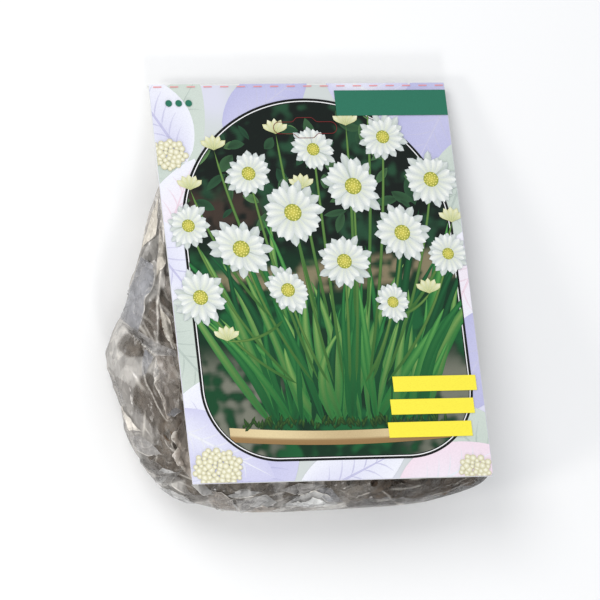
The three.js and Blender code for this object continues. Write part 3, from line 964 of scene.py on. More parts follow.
# the film's colour there is multiplied by this: painted shade
RIGHT_SHADE_FACTOR = 0.48
NECK = (8, 30)  # between these, along the bag, the film's colour is painted paler: painted light
NECK_PAINTED_LIGHT = 1.35


# the film's haze colour also carries painted light and shade
def film_layers(bm):
    layers = {label: bm.verts.layers.float.new(label) for label in ("crease", "cover")}
    layers["haze_and_painted_light"] = bm.verts.layers.float_color.new("haze_and_painted_light")
    return layers


def touching(points):
    """How close the film is to a root, from 0 when clear of it to 1 where they touch."""
    def closeness(tree, touch):
        hits = [tree.find_nearest(Vector(point), touch[1]) for point in points]
        return 1 - ease(np.array([hit[3] if hit[0] else touch[1] for hit in hits]), *touch)
    return np.maximum(closeness(tree_of([ends]), END_TOUCH), ROOTS_SHOW * closeness(root_tree, TOUCH))


touch = touching(shell_points)
cover = COVER_CLEAR_OF + (COVER_TOUCHING - COVER_CLEAR_OF) * touch + PLY_COVER * (shell_ply - 0.5)
haze_and_painted_light = HAZE_THIN + (HAZE_THICK - HAZE_THIN) * shell_ply[:, None]
# where the film touches a root its colour is painted darker: painted shade
haze_and_painted_light += (HAZE_SHADED_ON_ROOTS - haze_and_painted_light) * touch[:, None]
# painted shade on the right of the bag's front end
right_shade = ease(shell_points[:, :1], *RIGHT_SHADE_X) * (1 - ease(shell_points[:, 1:2], *RIGHT_SHADE_Y))
haze_and_painted_light *= 1 + (RIGHT_SHADE_FACTOR - 1) * right_shade
# painted light: the film's colour grows paler towards the neck
haze_and_painted_light *= 1 + (NECK_PAINTED_LIGHT - 1) * ease(shell_points[:, 1:2], *NECK)
print("share of the film that touches a root:", round(float((touch > 0.5).mean()), 2))

# %% The bag
move_to(shell, shell_points)
layers = film_layers(shell)
for vert, crease, covered, tint in zip(shell.verts, shell_crease, cover, haze_and_painted_light):
    vert[layers["crease"]] = crease
    vert[layers["cover"]] = covered
    vert[layers["haze_and_painted_light"]] = tint
punch_vents(shell)
add_piece(shell, "film_bag", film_material, replaces=["bag"])

# %% [markdown]
# ### Folded film
# In places the film is doubled over, and a loose panel lies on the rest with one edge free. Such a panel is
# a sheet between two lines that meet at both ends. A grid is stretched between the lines, carried onto the
# film, and lifted towards its free edge. That edge and the fold's wrinkles are painted white as painted
# highlights, and some folds are tinted with painted highlights, reflections or shade.

# %% Folds
FOLD_ALONG = 44
FOLD_ACROSS = 20
FOLD_CLEAR = 0.25  # how far a fold stays off the film under it
# a bluish fold tint that is a painted reflection of cool surroundings
COOL_REFLECTION = colour(154, 155, 160)
GREY = colour(142, 139, 135)
PALE = colour(170, 167, 164)
WARM = colour(166, 156, 146)
# a fold tint painted dark: painted shade over the roots
PAINTED_SHADE = colour(104, 99, 94)
# a fold tint that is a painted cream highlight
CREAM_HIGHLIGHT = colour(222, 214, 200)
MILKY = colour(188, 187, 185)
# the next two fold tints are painted light: a painted reflection of a lamp, then a painted glint
REFLECTION_WHITE = colour(230, 230, 228)
PAINTED_GLINT = colour(246, 238, 226)
FOLDS = [  # tint, cover and lift, then the fixed line and the free line in picture coordinates
    (CREAM_HIGHLIGHT, 0.85, 1.0, [(158, 198), (152, 214), (147, 232), (142, 248)],
     [(158, 198), (158, 216), (156, 236), (142, 248)]),
    (PALE, 0.6, 0.7, [(159, 200), (159, 214), (158, 228)], [(159, 200), (161, 214), (158, 228)]),
    (CREAM_HIGHLIGHT, 0.7, 0.8, [(160, 226), (159, 246), (158, 264), (156, 282)],
     [(160, 226), (164, 246), (163, 264), (156, 282)]),
    (COOL_REFLECTION, 0.62, 2.2, [(141, 257), (133, 281), (125, 301), (120, 318), (137, 333)],
     [(141, 257), (154, 267), (151, 288), (146, 312), (137, 333)]),
    (PALE, 0.55, 1.0, [(121, 322), (138, 331), (160, 345), (176, 351)],
     [(121, 322), (136, 340), (155, 355), (176, 357)]),
    (WARM, 0.5, 1.3, [(156, 352), (172, 356), (180, 385), (178, 410), (167, 420)],
     [(156, 352), (157, 368), (156, 386), (163, 402), (167, 420)]),
    (COOL_REFLECTION, 0.5, 0.8, [(145, 349), (142, 362), (143, 377)], [(145, 349), (156, 357), (143, 377)]),
    (MILKY, 0.45, 0.8, [(142, 345), (152, 343), (164, 350)], [(142, 345), (152, 353), (164, 350)]),
    (COOL_REFLECTION, 0.6, 0.8, [(166, 415), (175, 407), (182, 411)], [(166, 415), (174, 418), (182, 411)]),
    (WARM, 0.45, 0.8, [(165, 262), (169, 285), (173, 306)], [(165, 262), (162, 284), (173, 306)]),
    (CREAM_HIGHLIGHT, 0.6, 0.9, [(160, 308), (170, 320), (176, 350)], [(160, 308), (163, 332), (176, 350)]),
    (PALE, 0.5, 0.9, [(157, 356), (166, 372), (160, 398)], [(157, 356), (155, 376), (160, 398)]),
    (PAINTED_GLINT, 0.9, 0.8, [(121, 405), (126, 419), (129, 430), (141, 431)],
     [(121, 405), (131, 417), (135, 424), (141, 431)]),
    (PALE, 0.5, 1.2, [(130, 436), (142, 436), (152, 444), (161, 454)],
     [(130, 436), (140, 450), (150, 455), (161, 454)]),
    (PAINTED_SHADE, 0.5, 0.8, [(138, 459), (150, 458), (160, 464), (170, 475)],
     [(138, 459), (149, 470), (160, 475), (170, 475)]),
    (GREY, 0.5, 1.0, [(152, 480), (164, 474), (182, 470)], [(152, 480), (168, 484), (182, 470)]),
    (WARM, 0.7, 1.8, [(183, 419), (187, 440), (190, 462), (192, 480)],
     [(183, 419), (173, 436), (175, 459), (192, 480)]),
    (WARM, 0.5, 0.8, [(208, 490), (209, 500), (216, 509), (236, 510)],
     [(208, 490), (222, 491), (232, 499), (236, 510)]),
    (MILKY, 0.6, 0.8, [(243, 503), (255, 496), (266, 494), (277, 502)],
     [(243, 503), (256, 505), (267, 505), (277, 502)]),
    (MILKY, 0.7, 1.0, [(156, 486), (166, 495), (182, 503), (195, 503)],
     [(156, 486), (171, 487), (184, 494), (195, 503)]),
    (MILKY, 0.65, 0.8, [(157, 474), (170, 473), (179, 473)], [(157, 474), (163, 469), (179, 473)]),
    (MILKY, 0.6, 0.8, [(153, 484), (159, 478), (168, 475)], [(153, 484), (164, 482), (168, 475)]),
    (MILKY, 0.6, 1.0, [(191, 485), (204, 483), (216, 494)], [(191, 485), (203, 493), (216, 494)]),
    (MILKY, 0.6, 1.0, [(226, 496), (242, 489), (262, 492)], [(226, 496), (243, 497), (262, 492)]),
    (MILKY, 0.6, 0.8, [(205, 488), (219, 495), (231, 503), (241, 511)],
     [(205, 488), (222, 493), (234, 501), (241, 511)]),
    (PALE, 0.6, 0.8, [(241, 510), (243, 503), (254, 498)], [(241, 510), (250, 505), (254, 498)]),
    (PALE, 0.65, 0.8, [(280, 490), (299, 483), (328, 485)], [(280, 490), (304, 494), (328, 485)]),
    (WARM, 0.7, 0.8, [(245, 511), (260, 512), (281, 508)], [(245, 511), (261, 503), (281, 508)]),
    (MILKY, 0.65, 1.0, [(283, 505), (311, 507), (338, 504)],
     [(283, 505), (297, 495), (316, 490), (327, 493), (338, 504)]),
    (REFLECTION_WHITE, 0.8, 1.8, [(287, 504), (308, 506), (331, 504)],
     [(287, 504), (301, 499), (312, 494), (323, 499), (331, 504)]),
    (COOL_REFLECTION, 0.35, 0.8, [(314, 487), (331, 488), (343, 502)], [(314, 487), (325, 499), (343, 502)]),
    (PALE, 0.4, 0.8, [(236, 500), (248, 498), (259, 507)], [(236, 500), (241, 511), (259, 507)]),
]
FOLD_STEP = LINE_STEP / 4
FOLD_CURL = 1.6  # how late a fold lifts on the way to its free edge
FOLD_WAVE = 0.25  # how much that edge goes up and down
FOLD_CRUMPLE = 1.4
FOLD_CRUMPLE_SPAN = 6
FOLD_SHADE = 0.2  # how much a fold's tint varies
FOLD_SHADE_SPAN = 4
FOLD_COVER_SPAN = 9
# painted highlights along a fold's free edge, its fixed edge and its wrinkles
FREE_SHINE = 0.8
FIXED_SHINE = 0.4
WRINKLE_SHINE = 0.35
WRINKLE_REACH = 0.09
FOLD_WELD = 1e-3


def add_fold(bm, layers, number, tint, cover, lift, fixed, free):
    made = bmesh.ops.create_grid(bm, x_segments=FOLD_ACROSS, y_segments=FOLD_ALONG, size=0.5)["verts"]
    first = walked(fixed, FOLD_STEP)
    second = walked(free, FOLD_STEP)
    middle = np.concatenate([first, second]).mean(axis=0)
    for vert in made:
        s = vert.co.x + 0.5
        t = vert.co.y + 0.5
        held = first[round(t * (len(first) - 1))]
        loose = second[round(t * (len(second) - 1))]
        here, out = laid_inward(held * (1 - s) + loose * s, middle)
        bow = max(math.sin(math.pi * t), 0)
        wave = 1 + FOLD_WAVE * math.sin(9 * t + number) * s
        crumple = abs(noise.noise(here / FOLD_CRUMPLE_SPAN))
        shade = 1 + FOLD_SHADE * noise.noise(here / FOLD_SHADE_SPAN)
        vert.co = here + out * (FOLD_CLEAR + FOLD_CRUMPLE * bow * crumple + lift * bow * wave * s**FOLD_CURL)
        # the edges and wrinkles are painted white: painted highlights
        edge = max(FREE_SHINE * ease(s, 0.93, 1), FIXED_SHINE * ease(1 - s, 0.96, 1))
        wrinkle = WRINKLE_SHINE - WRINKLE_SHINE * ease(crumple, 0, WRINKLE_REACH)
        vert[layers["crease"]] = bow**0.3 * max(edge, wrinkle)
        vert[layers["cover"]] = cover * (0.9 + 0.3 * noise.noise(here / FOLD_COVER_SPAN))
        vert[layers["haze_and_painted_light"]] = Vector(tint) * shade
    faces = list({face for vert in made for face in vert.link_faces})
    facing = 0
    for face in faces:
        face.normal_update()
        facing += face.normal.dot(-sight_line(*middle)[1]) * face.calc_area()
    if facing < 0:
        bmesh.ops.reverse_faces(bm, faces=faces)


folds = bmesh.new()
layers = film_layers(folds)
for number, fold in enumerate(FOLDS):
    add_fold(folds, layers, number, *fold)
move_to(folds, kept_in(places(folds)))
bmesh.ops.remove_doubles(folds, verts=folds.verts, dist=FOLD_WELD)
add_piece(folds, "film_folds", film_material)

# %% [markdown]
# ## Printed card
# The card is coated board with a pale leafy ground, a dark picture window, a green band and yellow tabs.
# The print is built as flat shapes of ink, one thin layer over another.

# %% Board
FRONT_SKIN = 0.1  # board this near its front plane is printed


def board_finish():
    board = Finish("coated board", Roughness=0.34)
    slant = {"Vector": board.place, "Location": CARD_CENTRE * MM, "Rotation": (-CARD_TILT, 0, 0)}
    flat = board.add("Mapping", vector_type="TEXTURE", inputs=slant)
    height = board.add("SeparateXYZ", {0: flat.outputs[0]}).outputs["Z"]
    front = board.math("GREATER_THAN", height, -FRONT_SKIN * MM)
    drift = board.map(board.noise(45, detail=1), 0.4, 0.6)
    tint = board.blend(drift, colour(206, 212, 210), colour(220, 219, 238))
    fibre = board.blend(board.noise(0.6, detail=2), colour(228, 228, 224), colour(240, 240, 237))
    board.give("Base Color", board.blend(front, fibre, tint))
    return board.done()


def coat(node, material):
    """Give a solid of the packed model its finish."""
    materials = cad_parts[node].data.materials
    materials.clear()
    materials.append(material)


coat("card", board_finish())

# %% [markdown]
# The bag's neck is held between the card and its flap by two strips of glue, dried to a yellowish film.

# %% Glue
def glue_finish():
    glue = Finish("dried glue", Roughness=0.42)
    glue.give("Base Color", glue.blend(glue.noise(5), colour(222, 205, 160), colour(240, 230, 200)))
    glue.give("Normal", glue.bump(glue.noise(2), 0.2))
    return glue.done()


glue_material = glue_finish()
for strip in ("glue_front", "glue_rear"):
    coat(strip, glue_material)

# %% [markdown]
# ## Ink
# The print could be a picture in the shader, but ink is flat shapes laid one over another, and shapes stay
# crisp at any distance. Each shape starts as a small grid. Its corners are carried to their place on the
# card and take a colour, which the ink's finish reads back from the `print` attribute. Every layer lies a
# hair above the last.

# %% Printing ink
INK_GRAIN = (0.93, 1.04)  # the darkest and the brightest grain


def ink_finish():
    ink = Finish("printing ink", Roughness=0.45)
    ink.give("Specular IOR Level", 0.25)
    tint = ink.attribute("print", "Color")
    grain = ink.map(ink.noise(0.5, detail=2), 0.3, 0.7, *INK_GRAIN)
    ink.give("Base Color", ink.vectors("MULTIPLY", tint, grain)[0])
    return ink.done()


ink_material = ink_finish()

# %% Flat shapes of ink
INK_STEP = 0.008  # from one layer of ink to the next
INK_MARGIN = 0.2  # bare board at the card's edge
INK_WELD = 1e-4
INK_SLIVER = 1e-5  # cuts and edges shorter than this are taken away


def mixed(first, second, share):
    return tuple(a + (b - a) * share for a, b in zip(first, second))


class Ink:
    """Flat coloured shapes, laid out in the card's own axes."""

    def __init__(self):
        self.bm = bmesh.new()
        self.tint = self.bm.verts.layers.float_color.new("print")

    def grid(self, across, along, place, tint):
        """A grid whose corner at (s, t), each 0 to 1, goes to place(s, t) and takes the colour tint(s, t)."""
        made = bmesh.ops.create_grid(self.bm, x_segments=across, y_segments=along, size=0.5)
        for vert in made["verts"]:
            s = vert.co.x + 0.5
            t = vert.co.y + 0.5
            vert.co = place(s, t)
            vert[self.tint] = tint(s, t)

    def bar(self, low, high, layer, tint):
        def place(s, t):
            return low[0] + (high[0] - low[0]) * s, low[1] + (high[1] - low[1]) * t, layer * INK_STEP
        self.grid(1, 1, place, lambda s, t: tint)

    def leaf(self, base, tip, width, tints, layer, bend=0, belly=0.5, blunt=0.8, lean=0, steps=7):
        """A leaf or petal from base to tip. It is widest at belly, and one of its sides may lie higher."""
        base = Vector(base)
        run = Vector(tip) - base
        side = Vector((run.y, -run.x)).normalized()
        warp = math.log(0.5) / math.log(belly)

        def place(s, t):
            middle = base + run * t + side * bend * 4 * t * (1 - t)
            half = width / 2 * max(math.sin(math.pi * t**warp), 0) ** blunt
            spot = middle + side * half * (2 * s - 1)
            return spot.x, spot.y, layer * INK_STEP + lean * (2 * s - 1)

        def tint(s, t):
            return mixed(mixed(tints[0], tints[1], t), tints[2], abs(2 * s - 1))
        self.grid(4, steps, place, tint)

    def dot(self, middle, radius, layer, inner, outer, sides=16):
        put = Matrix.Translation((middle[0], middle[1], layer * INK_STEP))
        made = bmesh.ops.create_circle(self.bm, cap_ends=True, cap_tris=True, segments=sides,
                                       radius=radius, matrix=put)
        for vert in made["verts"]:
            away = (vert.co.xy - Vector(middle)).length
            vert[self.tint] = mixed(inner, outer, away / radius)

    def clip(self, point, outward):
        """Cut off everything on the outward side of a line across the card."""
        everything = self.bm.verts[:] + self.bm.edges[:] + self.bm.faces[:]
        bmesh.ops.bisect_plane(self.bm, geom=everything, dist=INK_SLIVER, plane_co=(*point, 0),
                               plane_no=(*outward, 0), clear_outer=True)

    def clip_to_card(self):
        for side in (-1, 1):
            self.clip((side * (CARD_WIDTH / 2 - INK_MARGIN), 0), (side, 0))
            self.clip((0, side * (CARD_HEIGHT / 2 - INK_MARGIN)), (0, side))

    def print_as(self, name):
        bmesh.ops.remove_doubles(self.bm, verts=self.bm.verts, dist=INK_WELD)
        bmesh.ops.dissolve_degenerate(self.bm, edges=self.bm.edges, dist=INK_SLIVER)
        bmesh.ops.transform(self.bm, matrix=ON_CARD, verts=self.bm.verts)
        return add_piece(self.bm, name, ink_material, smooth=False)


print("100 layers of ink are", round(100 * INK_STEP, 1), "mm high")

# %% [markdown]
# ### The card's ground
# Large pale leaves and petals in lilac, sage and pink overlap on the ground, so washed out that the window
# stands out from them. A midrib and a few side veins make each one a leaf. They run off the card and are
# cut at its edge.

# %% Pale leaves
LILAC = colour(206, 205, 233)
LILAC_DEEP = colour(188, 188, 224)
SAGE = colour(190, 202, 194)
SAGE_PALE = colour(206, 216, 207)
PINK = colour(242, 222, 233)
NEAR_WHITE = colour(238, 239, 247)
PALE_LEAVES = [  # base, tip, width, colour, side colour
    ((-92, 40), (-50, 104), 40, SAGE, SAGE_PALE),
    ((-60, 60), (-88, 108), 34, LILAC, NEAR_WHITE),
    ((-40, 74), (6, 106), 30, LILAC, LILAC_DEEP),
    ((14, 108), (66, 78), 34, NEAR_WHITE, LILAC),
    ((88, 110), (52, 52), 42, LILAC, LILAC_DEEP),
    ((90, 74), (58, 10), 32, SAGE, SAGE_PALE),
    ((-84, 2), (-56, 62), 30, PINK, NEAR_WHITE),
    ((-92, 34), (-54, -22), 34, LILAC, NEAR_WHITE),
    ((92, 28), (58, -30), 34, PINK, NEAR_WHITE),
    ((-80, -48), (-58, 4), 28, PINK, NEAR_WHITE),
    ((-94, -8), (-50, -66), 36, SAGE, SAGE_PALE),
    ((94, -14), (54, -72), 36, LILAC, LILAC_DEEP),
    ((-88, -112), (-52, -44), 40, LILAC, NEAR_WHITE),
    ((-62, -116), (-20, -70), 36, LILAC_DEEP, LILAC),
    ((-90, -66), (-34, -98), 30, NEAR_WHITE, LILAC),
    ((90, -112), (46, -60), 38, SAGE, SAGE_PALE),
    ((-26, -112), (34, -84), 30, LILAC, NEAR_WHITE),
    ((24, -114), (80, -86), 34, NEAR_WHITE, PINK),
]
VEINS = 6
VEIN_WIDTH = 0.7
VEIN_START = 0.16  # where the first one leaves the midrib, as a share of the leaf
VEIN_APART = 0.11
VEIN_REACH = 0.36  # how far the longest one goes to the side, as a share of the leaf's width
VEIN_SHORTER = 0.035
VEIN_DARK = 0.9


def pale_leaf(ink, base, tip, width, tint, side_tint, layer):
    base = Vector(base)
    run = Vector(tip) - base
    side = Vector((run.y, -run.x)).normalized()
    vein = tuple(VEIN_DARK * part for part in mixed(tint, side_tint, -0.15))
    ink.leaf(base, tip, width, (tint, side_tint, side_tint), layer, belly=0.45, steps=16)
    ink.leaf(base, tip, VEIN_WIDTH * 2, (vein, tint, vein), layer + 0.5, belly=0.2, steps=8)
    for i in range(VEINS):
        start = base + run * (VEIN_START + VEIN_APART * i)
        reach = width * (VEIN_REACH - VEIN_SHORTER * abs(i - 2))
        for way in (-1, 1):
            end = start + run.normalized() * reach * 0.8 + side * way * reach
            tints = (vein, side_tint, vein)
            ink.leaf(start, end, VEIN_WIDTH, tints, layer + 0.5, bend=-way, belly=0.3, steps=4)


ground = Ink()
for layer, leaf in enumerate(PALE_LEAVES, 1):
    pale_leaf(ground, *leaf, layer)
ground.clip_to_card()
ground.print_as("print_ground")

# %% [markdown]
# ### The window
# An arched window frames a garden scene. Its frame is four arches of shrinking size, each laid on the one
# before: black, white, black and the picture itself. One function gives the arch's half width at any
# height.

# %% Arched window
WINDOW_CENTRE = 2
WINDOW_HALF = 66
WINDOW_SPRING = 24  # height at which the straight sides end and the arch begins
WINDOW_BOTTOM = -88
WINDOW_CORNER = 34  # radius of the two lower corners
WINDOW_ROWS = 170
FRAME_LAYER = 20
FRAME = [  # how far each arch stands out past the window, and its colour
    (2.1, colour(14, 16, 14)),
    (0.9, colour(250, 250, 250)),
    (0.45, colour(14, 16, 14)),
]


def arch_half(height, margin=0):
    """Half the arch's width at a height above the card's middle. A margin makes it wider all round."""
    half = WINDOW_HALF + margin
    if height > WINDOW_SPRING:
        return math.sqrt(max(half**2 - (height - WINDOW_SPRING) ** 2, 0))
    corner = WINDOW_CORNER + margin
    below = WINDOW_BOTTOM + WINDOW_CORNER - height
    if below > 0:
        return half - corner + math.sqrt(max(corner**2 - below**2, 0))
    return half


def arch(ink, margin, layer, tint, columns=2):
    low = WINDOW_BOTTOM - margin
    high = WINDOW_SPRING + WINDOW_HALF + margin

    def place(s, t):
        height = low + (high - low) * (0.5 - 0.5 * math.cos(math.pi * t))
        return WINDOW_CENTRE + (2 * s - 1) * arch_half(height, margin), height, layer * INK_STEP

    ink.grid(columns, WINDOW_ROWS, place, lambda s, t: tint(*place(s, t)))


print("half widths from the foot up, mm:", [round(arch_half(height), 1) for height in (-88, -54, 24, 80)])

# %% [markdown]
# The garden behind the flowers is out of focus: dark shade above, a worn wooden edge in the middle and a
# lawn below. Soft noise mixes those colours at the corners of a finer grid, which blurs them as a lens
# would.

# %% Blurred garden
GARDEN_COARSE = 17
GARDEN_FINE = 5
GARDEN_COLUMNS = 150
SHADE = colour(9, 20, 15)
SHADE_LEAF = colour(34, 74, 50)
EARTH = colour(62, 50, 42)
WOOD = colour(146, 132, 104)
STONE = colour(150, 148, 134)
LAWN = colour(24, 92, 50)
LAWN_DEEP = colour(10, 48, 28)


def soft(value, low, high):
    """The same step as ease, for one plain number, which is much quicker."""
    share = min(max((value - low) / (high - low), 0), 1)
    return share * share * (3 - 2 * share)


def garden(u, v, w):
    """The garden's colour at a place on the card. Each part blends in where its steps have risen."""
    coarse = noise.noise((u / GARDEN_COARSE, v / GARDEN_COARSE, 1))
    fine = noise.noise((u / GARDEN_FINE, v / GARDEN_FINE, 8))
    # shade above the lawn
    shade = mixed(SHADE, SHADE_LEAF, soft(coarse + 0.8 * fine, 0.0, 0.7))
    lawn = mixed(LAWN_DEEP, LAWN, soft(coarse + 0.6 * fine + 0.2, 0, 0.6))
    tint = mixed(lawn, shade, soft(v + 12 * coarse, 4, 22))
    # bare earth at the left, half way up
    earth = soft(v + 5 * fine, 20, 30) * (1 - soft(v + 9 * coarse, 40, 52)) * soft(-u, 18, 36)
    tint = mixed(tint, mixed(EARTH, SHADE, soft(fine, -0.1, 0.5)), earth)
    # the wooden edge, which slants a little
    wood = soft(v - 0.1 * u, -8, -4) * (1 - soft(v - 0.1 * u, 6, 11))
    tint = mixed(tint, mixed(WOOD, LAWN_DEEP, soft(fine - coarse, -0.1, 0.5)), 0.8 * wood)
    # stones low down, to the left and the right
    stones = soft(-v, 30, 50) * soft(abs(u - 4), 22, 46)
    return mixed(tint, mixed(STONE, LAWN_DEEP, soft(fine + coarse, -0.5, 0.3)), 0.6 * stones)


window = Ink()
for layer, (margin, tint) in enumerate(FRAME):
    arch(window, margin, FRAME_LAYER + layer, lambda u, v, w, tint=tint: tint)
arch(window, 0, FRAME_LAYER + len(FRAME), garden, columns=GARDEN_COLUMNS)
window.print_as("print_window")

# %% [markdown]
# ### The planting
# A trough of strap-leaved plants fills the window's lower half, before small loose leaves of shrubs further
# back. Leaves are long pointed shapes, dark at the foot and bright towards the tip, drawn from the back to
# the front. A seeded generator varies them, so the print is the same at every run. What would cross the
# frame is cut at the arch with a fan of straight cuts.

# %% Shrubs behind
PRINT_SEED = 12
PLANTING_LAYER = FRAME_LAYER + len(FRAME) + 1
BACK_LEAVES = 60
BACK_GREEN = colour(96, 136, 84)


def heading(turn, squash=1):
    """One unit along a turn, on a circle that may be squashed."""
    return Vector((math.cos(turn), squash * math.sin(turn)))


draw = random.Random(PRINT_SEED)
planting = Ink()
for i in range(BACK_LEAVES):
    base = Vector((draw.uniform(-62, 66), draw.uniform(28, 84)))
    tip = base + heading(draw.uniform(0, 2 * math.pi)) * draw.uniform(7, 15)
    green = mixed(SHADE_LEAF, BACK_GREEN, draw.random() ** 2)
    tints = (mixed(green, SHADE, 0.6), green, green)
    layer = PLANTING_LAYER + 3 * i / BACK_LEAVES
    planting.leaf(base, tip, draw.uniform(2.5, 6), tints, layer, bend=draw.uniform(-1, 1))
print("faces so far:", len(planting.bm.faces))

# %% Strap leaves
TROUGH_TOP = -72
PLANTS_MIDDLE = 4
PLANTS_HALF = 40
PLANTS_LEAN = 34  # how far the outermost leaves lean out
STRAP_LEAVES = 86
STRAP_TINTS = [  # at the foot, at the tip and at the sides
    (colour(14, 70, 36), colour(52, 130, 66), colour(22, 92, 46)),
    (colour(18, 84, 40), colour(98, 168, 84), colour(34, 110, 52)),
    (colour(8, 52, 30), colour(30, 100, 56), colour(12, 66, 36)),
    (colour(26, 92, 44), colour(140, 178, 96), colour(50, 120, 58)),
]

for i in range(STRAP_LEAVES):
    front = i / STRAP_LEAVES
    across = PLANTS_MIDDLE + PLANTS_HALF * draw.uniform(-1, 1)
    foot = Vector((across, TROUGH_TOP + draw.uniform(-3, 3) * (1 - front)))
    reach = draw.uniform(52, 112) * (1 - 0.35 * front)
    lean = (foot.x - PLANTS_MIDDLE) / PLANTS_HALF * PLANTS_LEAN + draw.gauss(0, 11)
    tip = foot + Vector((lean, reach))
    layer = PLANTING_LAYER + 3 + 9 * front
    planting.leaf(foot, tip, draw.uniform(2.6, 5), draw.choice(STRAP_TINTS), layer,
                  bend=draw.uniform(-7, 7) - lean / 9, belly=0.35, blunt=0.55, steps=14)
print("faces so far:", len(planting.bm.faces))

# %% Trough and moss
TROUGH_HALF = 56
TROUGH_HEIGHT = 7
TROUGH_BOW = 2.5  # its front bows down by this much
TROUGH_TINTS = (colour(150, 118, 76), colour(226, 206, 160))
MOSS = colour(22, 50, 24)
MOSS_TIP = colour(70, 110, 44)
MOSS_TUFTS = 90
MOSS_HALF = 52
TROUGH_STEPS = (24, 6)

for i in range(MOSS_TUFTS):
    across = PLANTS_MIDDLE + MOSS_HALF * draw.uniform(-1, 1)
    foot = (across, TROUGH_TOP - 1 + draw.uniform(-2, 1))
    tip = (across + draw.uniform(-3, 3), foot[1] + draw.uniform(2, 6))
    planting.leaf(foot, tip, 1.6, (MOSS, MOSS_TIP, MOSS), PLANTING_LAYER + 13 + i / MOSS_TUFTS, steps=3)


def trough(s, t):
    bow = TROUGH_BOW * (1 - (2 * s - 1) ** 2)
    across = WINDOW_CENTRE + TROUGH_HALF * (2 * s - 1)
    return across, TROUGH_TOP - 8 + TROUGH_HEIGHT * t - bow, (PLANTING_LAYER + 12) * INK_STEP


def trough_tint(s, t):
    return mixed(*TROUGH_TINTS, soft(t, 0.3, 0.5) * (0.8 + 0.2 * math.sin(9 * s)))


planting.grid(*TROUGH_STEPS, trough, trough_tint)
print("faces so far:", len(planting.bm.faces))

# %% Cut to the arch
ARCH_CUTS = 36

for i in range(ARCH_CUTS):
    turn = math.pi * (i + 0.5) / ARCH_CUTS
    outward = heading(turn)
    planting.clip(Vector((WINDOW_CENTRE, WINDOW_SPRING)) + outward * WINDOW_HALF, outward)
    side = 1 if turn < math.pi / 2 else -1
    lower = Vector((WINDOW_CENTRE + side * (WINDOW_HALF - WINDOW_CORNER), WINDOW_BOTTOM + WINDOW_CORNER))
    planting.clip(lower + Vector((outward.x, -outward.y)) * WINDOW_CORNER, (outward.x, -outward.y))
planting.print_as("print_planting")

# %% [markdown]
# ### White daisies
# Simple daisies drift across the window, and a few of them lean over its frame. A flower is two rings of
# petals round a centre of small dots. Each petal has one side a hair higher, so that every petal overlaps
# the next one all the way round, as the blades of a fan do.

# %% Stems and buds
FLOWER_LAYER = PLANTING_LAYER + 16
DAISIES = [  # place of the centre and width
    (4, 66, 25), (-30, 54, 27), (40, 72, 26), (-63, 28, 25), (62, 50, 30), (22, 47, 33), (-10, 34, 34),
    (66, 12, 23), (44, 23, 31), (-38, 16, 33), (13, 9, 29), (-61, -8, 29), (-17, -5, 27), (35, -12, 22),
]
BUDS = [(-46, 70), (-14, 78), (22, 82), (-60, 50), (70, 32), (-4, 50), (34, 92), (-50, -26), (54, -4)]
BUD_LENGTH = 8
BUD_SPREAD = 0.45  # the turn from one petal of a bud to the next
BUD_TINTS = (colour(150, 168, 90), colour(248, 246, 220), colour(214, 214, 160))
STEM_TINTS = (colour(40, 92, 40), colour(120, 150, 76), colour(60, 110, 50))
STEM_BEND = 0.12
DAISY_FOOT = (0.35, TROUGH_TOP + 20)  # how much of the flower's place its stem keeps, and the stem's foot
BUD_FOOT = (0.5, -20)


def stem(ink, foot, tip, layer):
    bend = (tip[0] - foot[0]) * STEM_BEND
    ink.leaf(foot, tip, 1.5, STEM_TINTS, layer, bend=bend, belly=0.3, blunt=0.2, steps=12)


flowers = Ink()
for i, (u, v, width) in enumerate(DAISIES):
    low = (PLANTS_MIDDLE + u * DAISY_FOOT[0], DAISY_FOOT[1])
    stem(flowers, low, (u, v), FLOWER_LAYER - 2 + i / len(DAISIES))
for i, (u, v) in enumerate(BUDS):
    low = (PLANTS_MIDDLE + u * BUD_FOOT[0], BUD_FOOT[1])
    foot = Vector((u, v - 4))
    stem(flowers, low, foot, FLOWER_LAYER - 1 + i / len(BUDS))
    for way in range(-2, 3):
        tip = foot + Vector((math.sin(BUD_SPREAD * way), math.cos(BUD_SPREAD * way))) * BUD_LENGTH
        layer = FLOWER_LAYER + 0.5 * abs(way) + 0.1 * way
        flowers.leaf(foot, tip, 2.8, BUD_TINTS, layer, belly=0.7, blunt=0.7, steps=5)
print("daisies:", len(DAISIES), "buds:", len(BUDS))

# %% Daisies
PETALS = 15
PETAL_LEAN = 0.005
PETAL_FOOT = 0.07  # how far from the centre a petal starts, as a share of the flower's width
HEART_WIDE = 0.13  # radius of the centre, as a share of the flower's width
HEART_SPREAD = 0.12  # the same for the disc that its dots fill
HEART_DOTS = 26
DOT_WIDE = 0.014
SPIRAL_TURN = 2.4  # from one dot to the next, which spreads them evenly over a disc
PETAL = (colour(206, 214, 186), colour(250, 251, 248), colour(208, 214, 214))
BACK_PETAL = (colour(150, 166, 136), colour(226, 231, 228), colour(186, 194, 194))
HEART = (colour(214, 204, 92), colour(150, 158, 62))
HEART_DOT = colour(250, 240, 150)


def spiral(middle, radius, count, squash=1):
    """Spots spread evenly over a disc, along a spiral from its middle."""
    for i in range(count):
        away = radius * math.sqrt((i + 0.5) / count)
        yield Vector(middle) + heading(SPIRAL_TURN * i, squash) * away


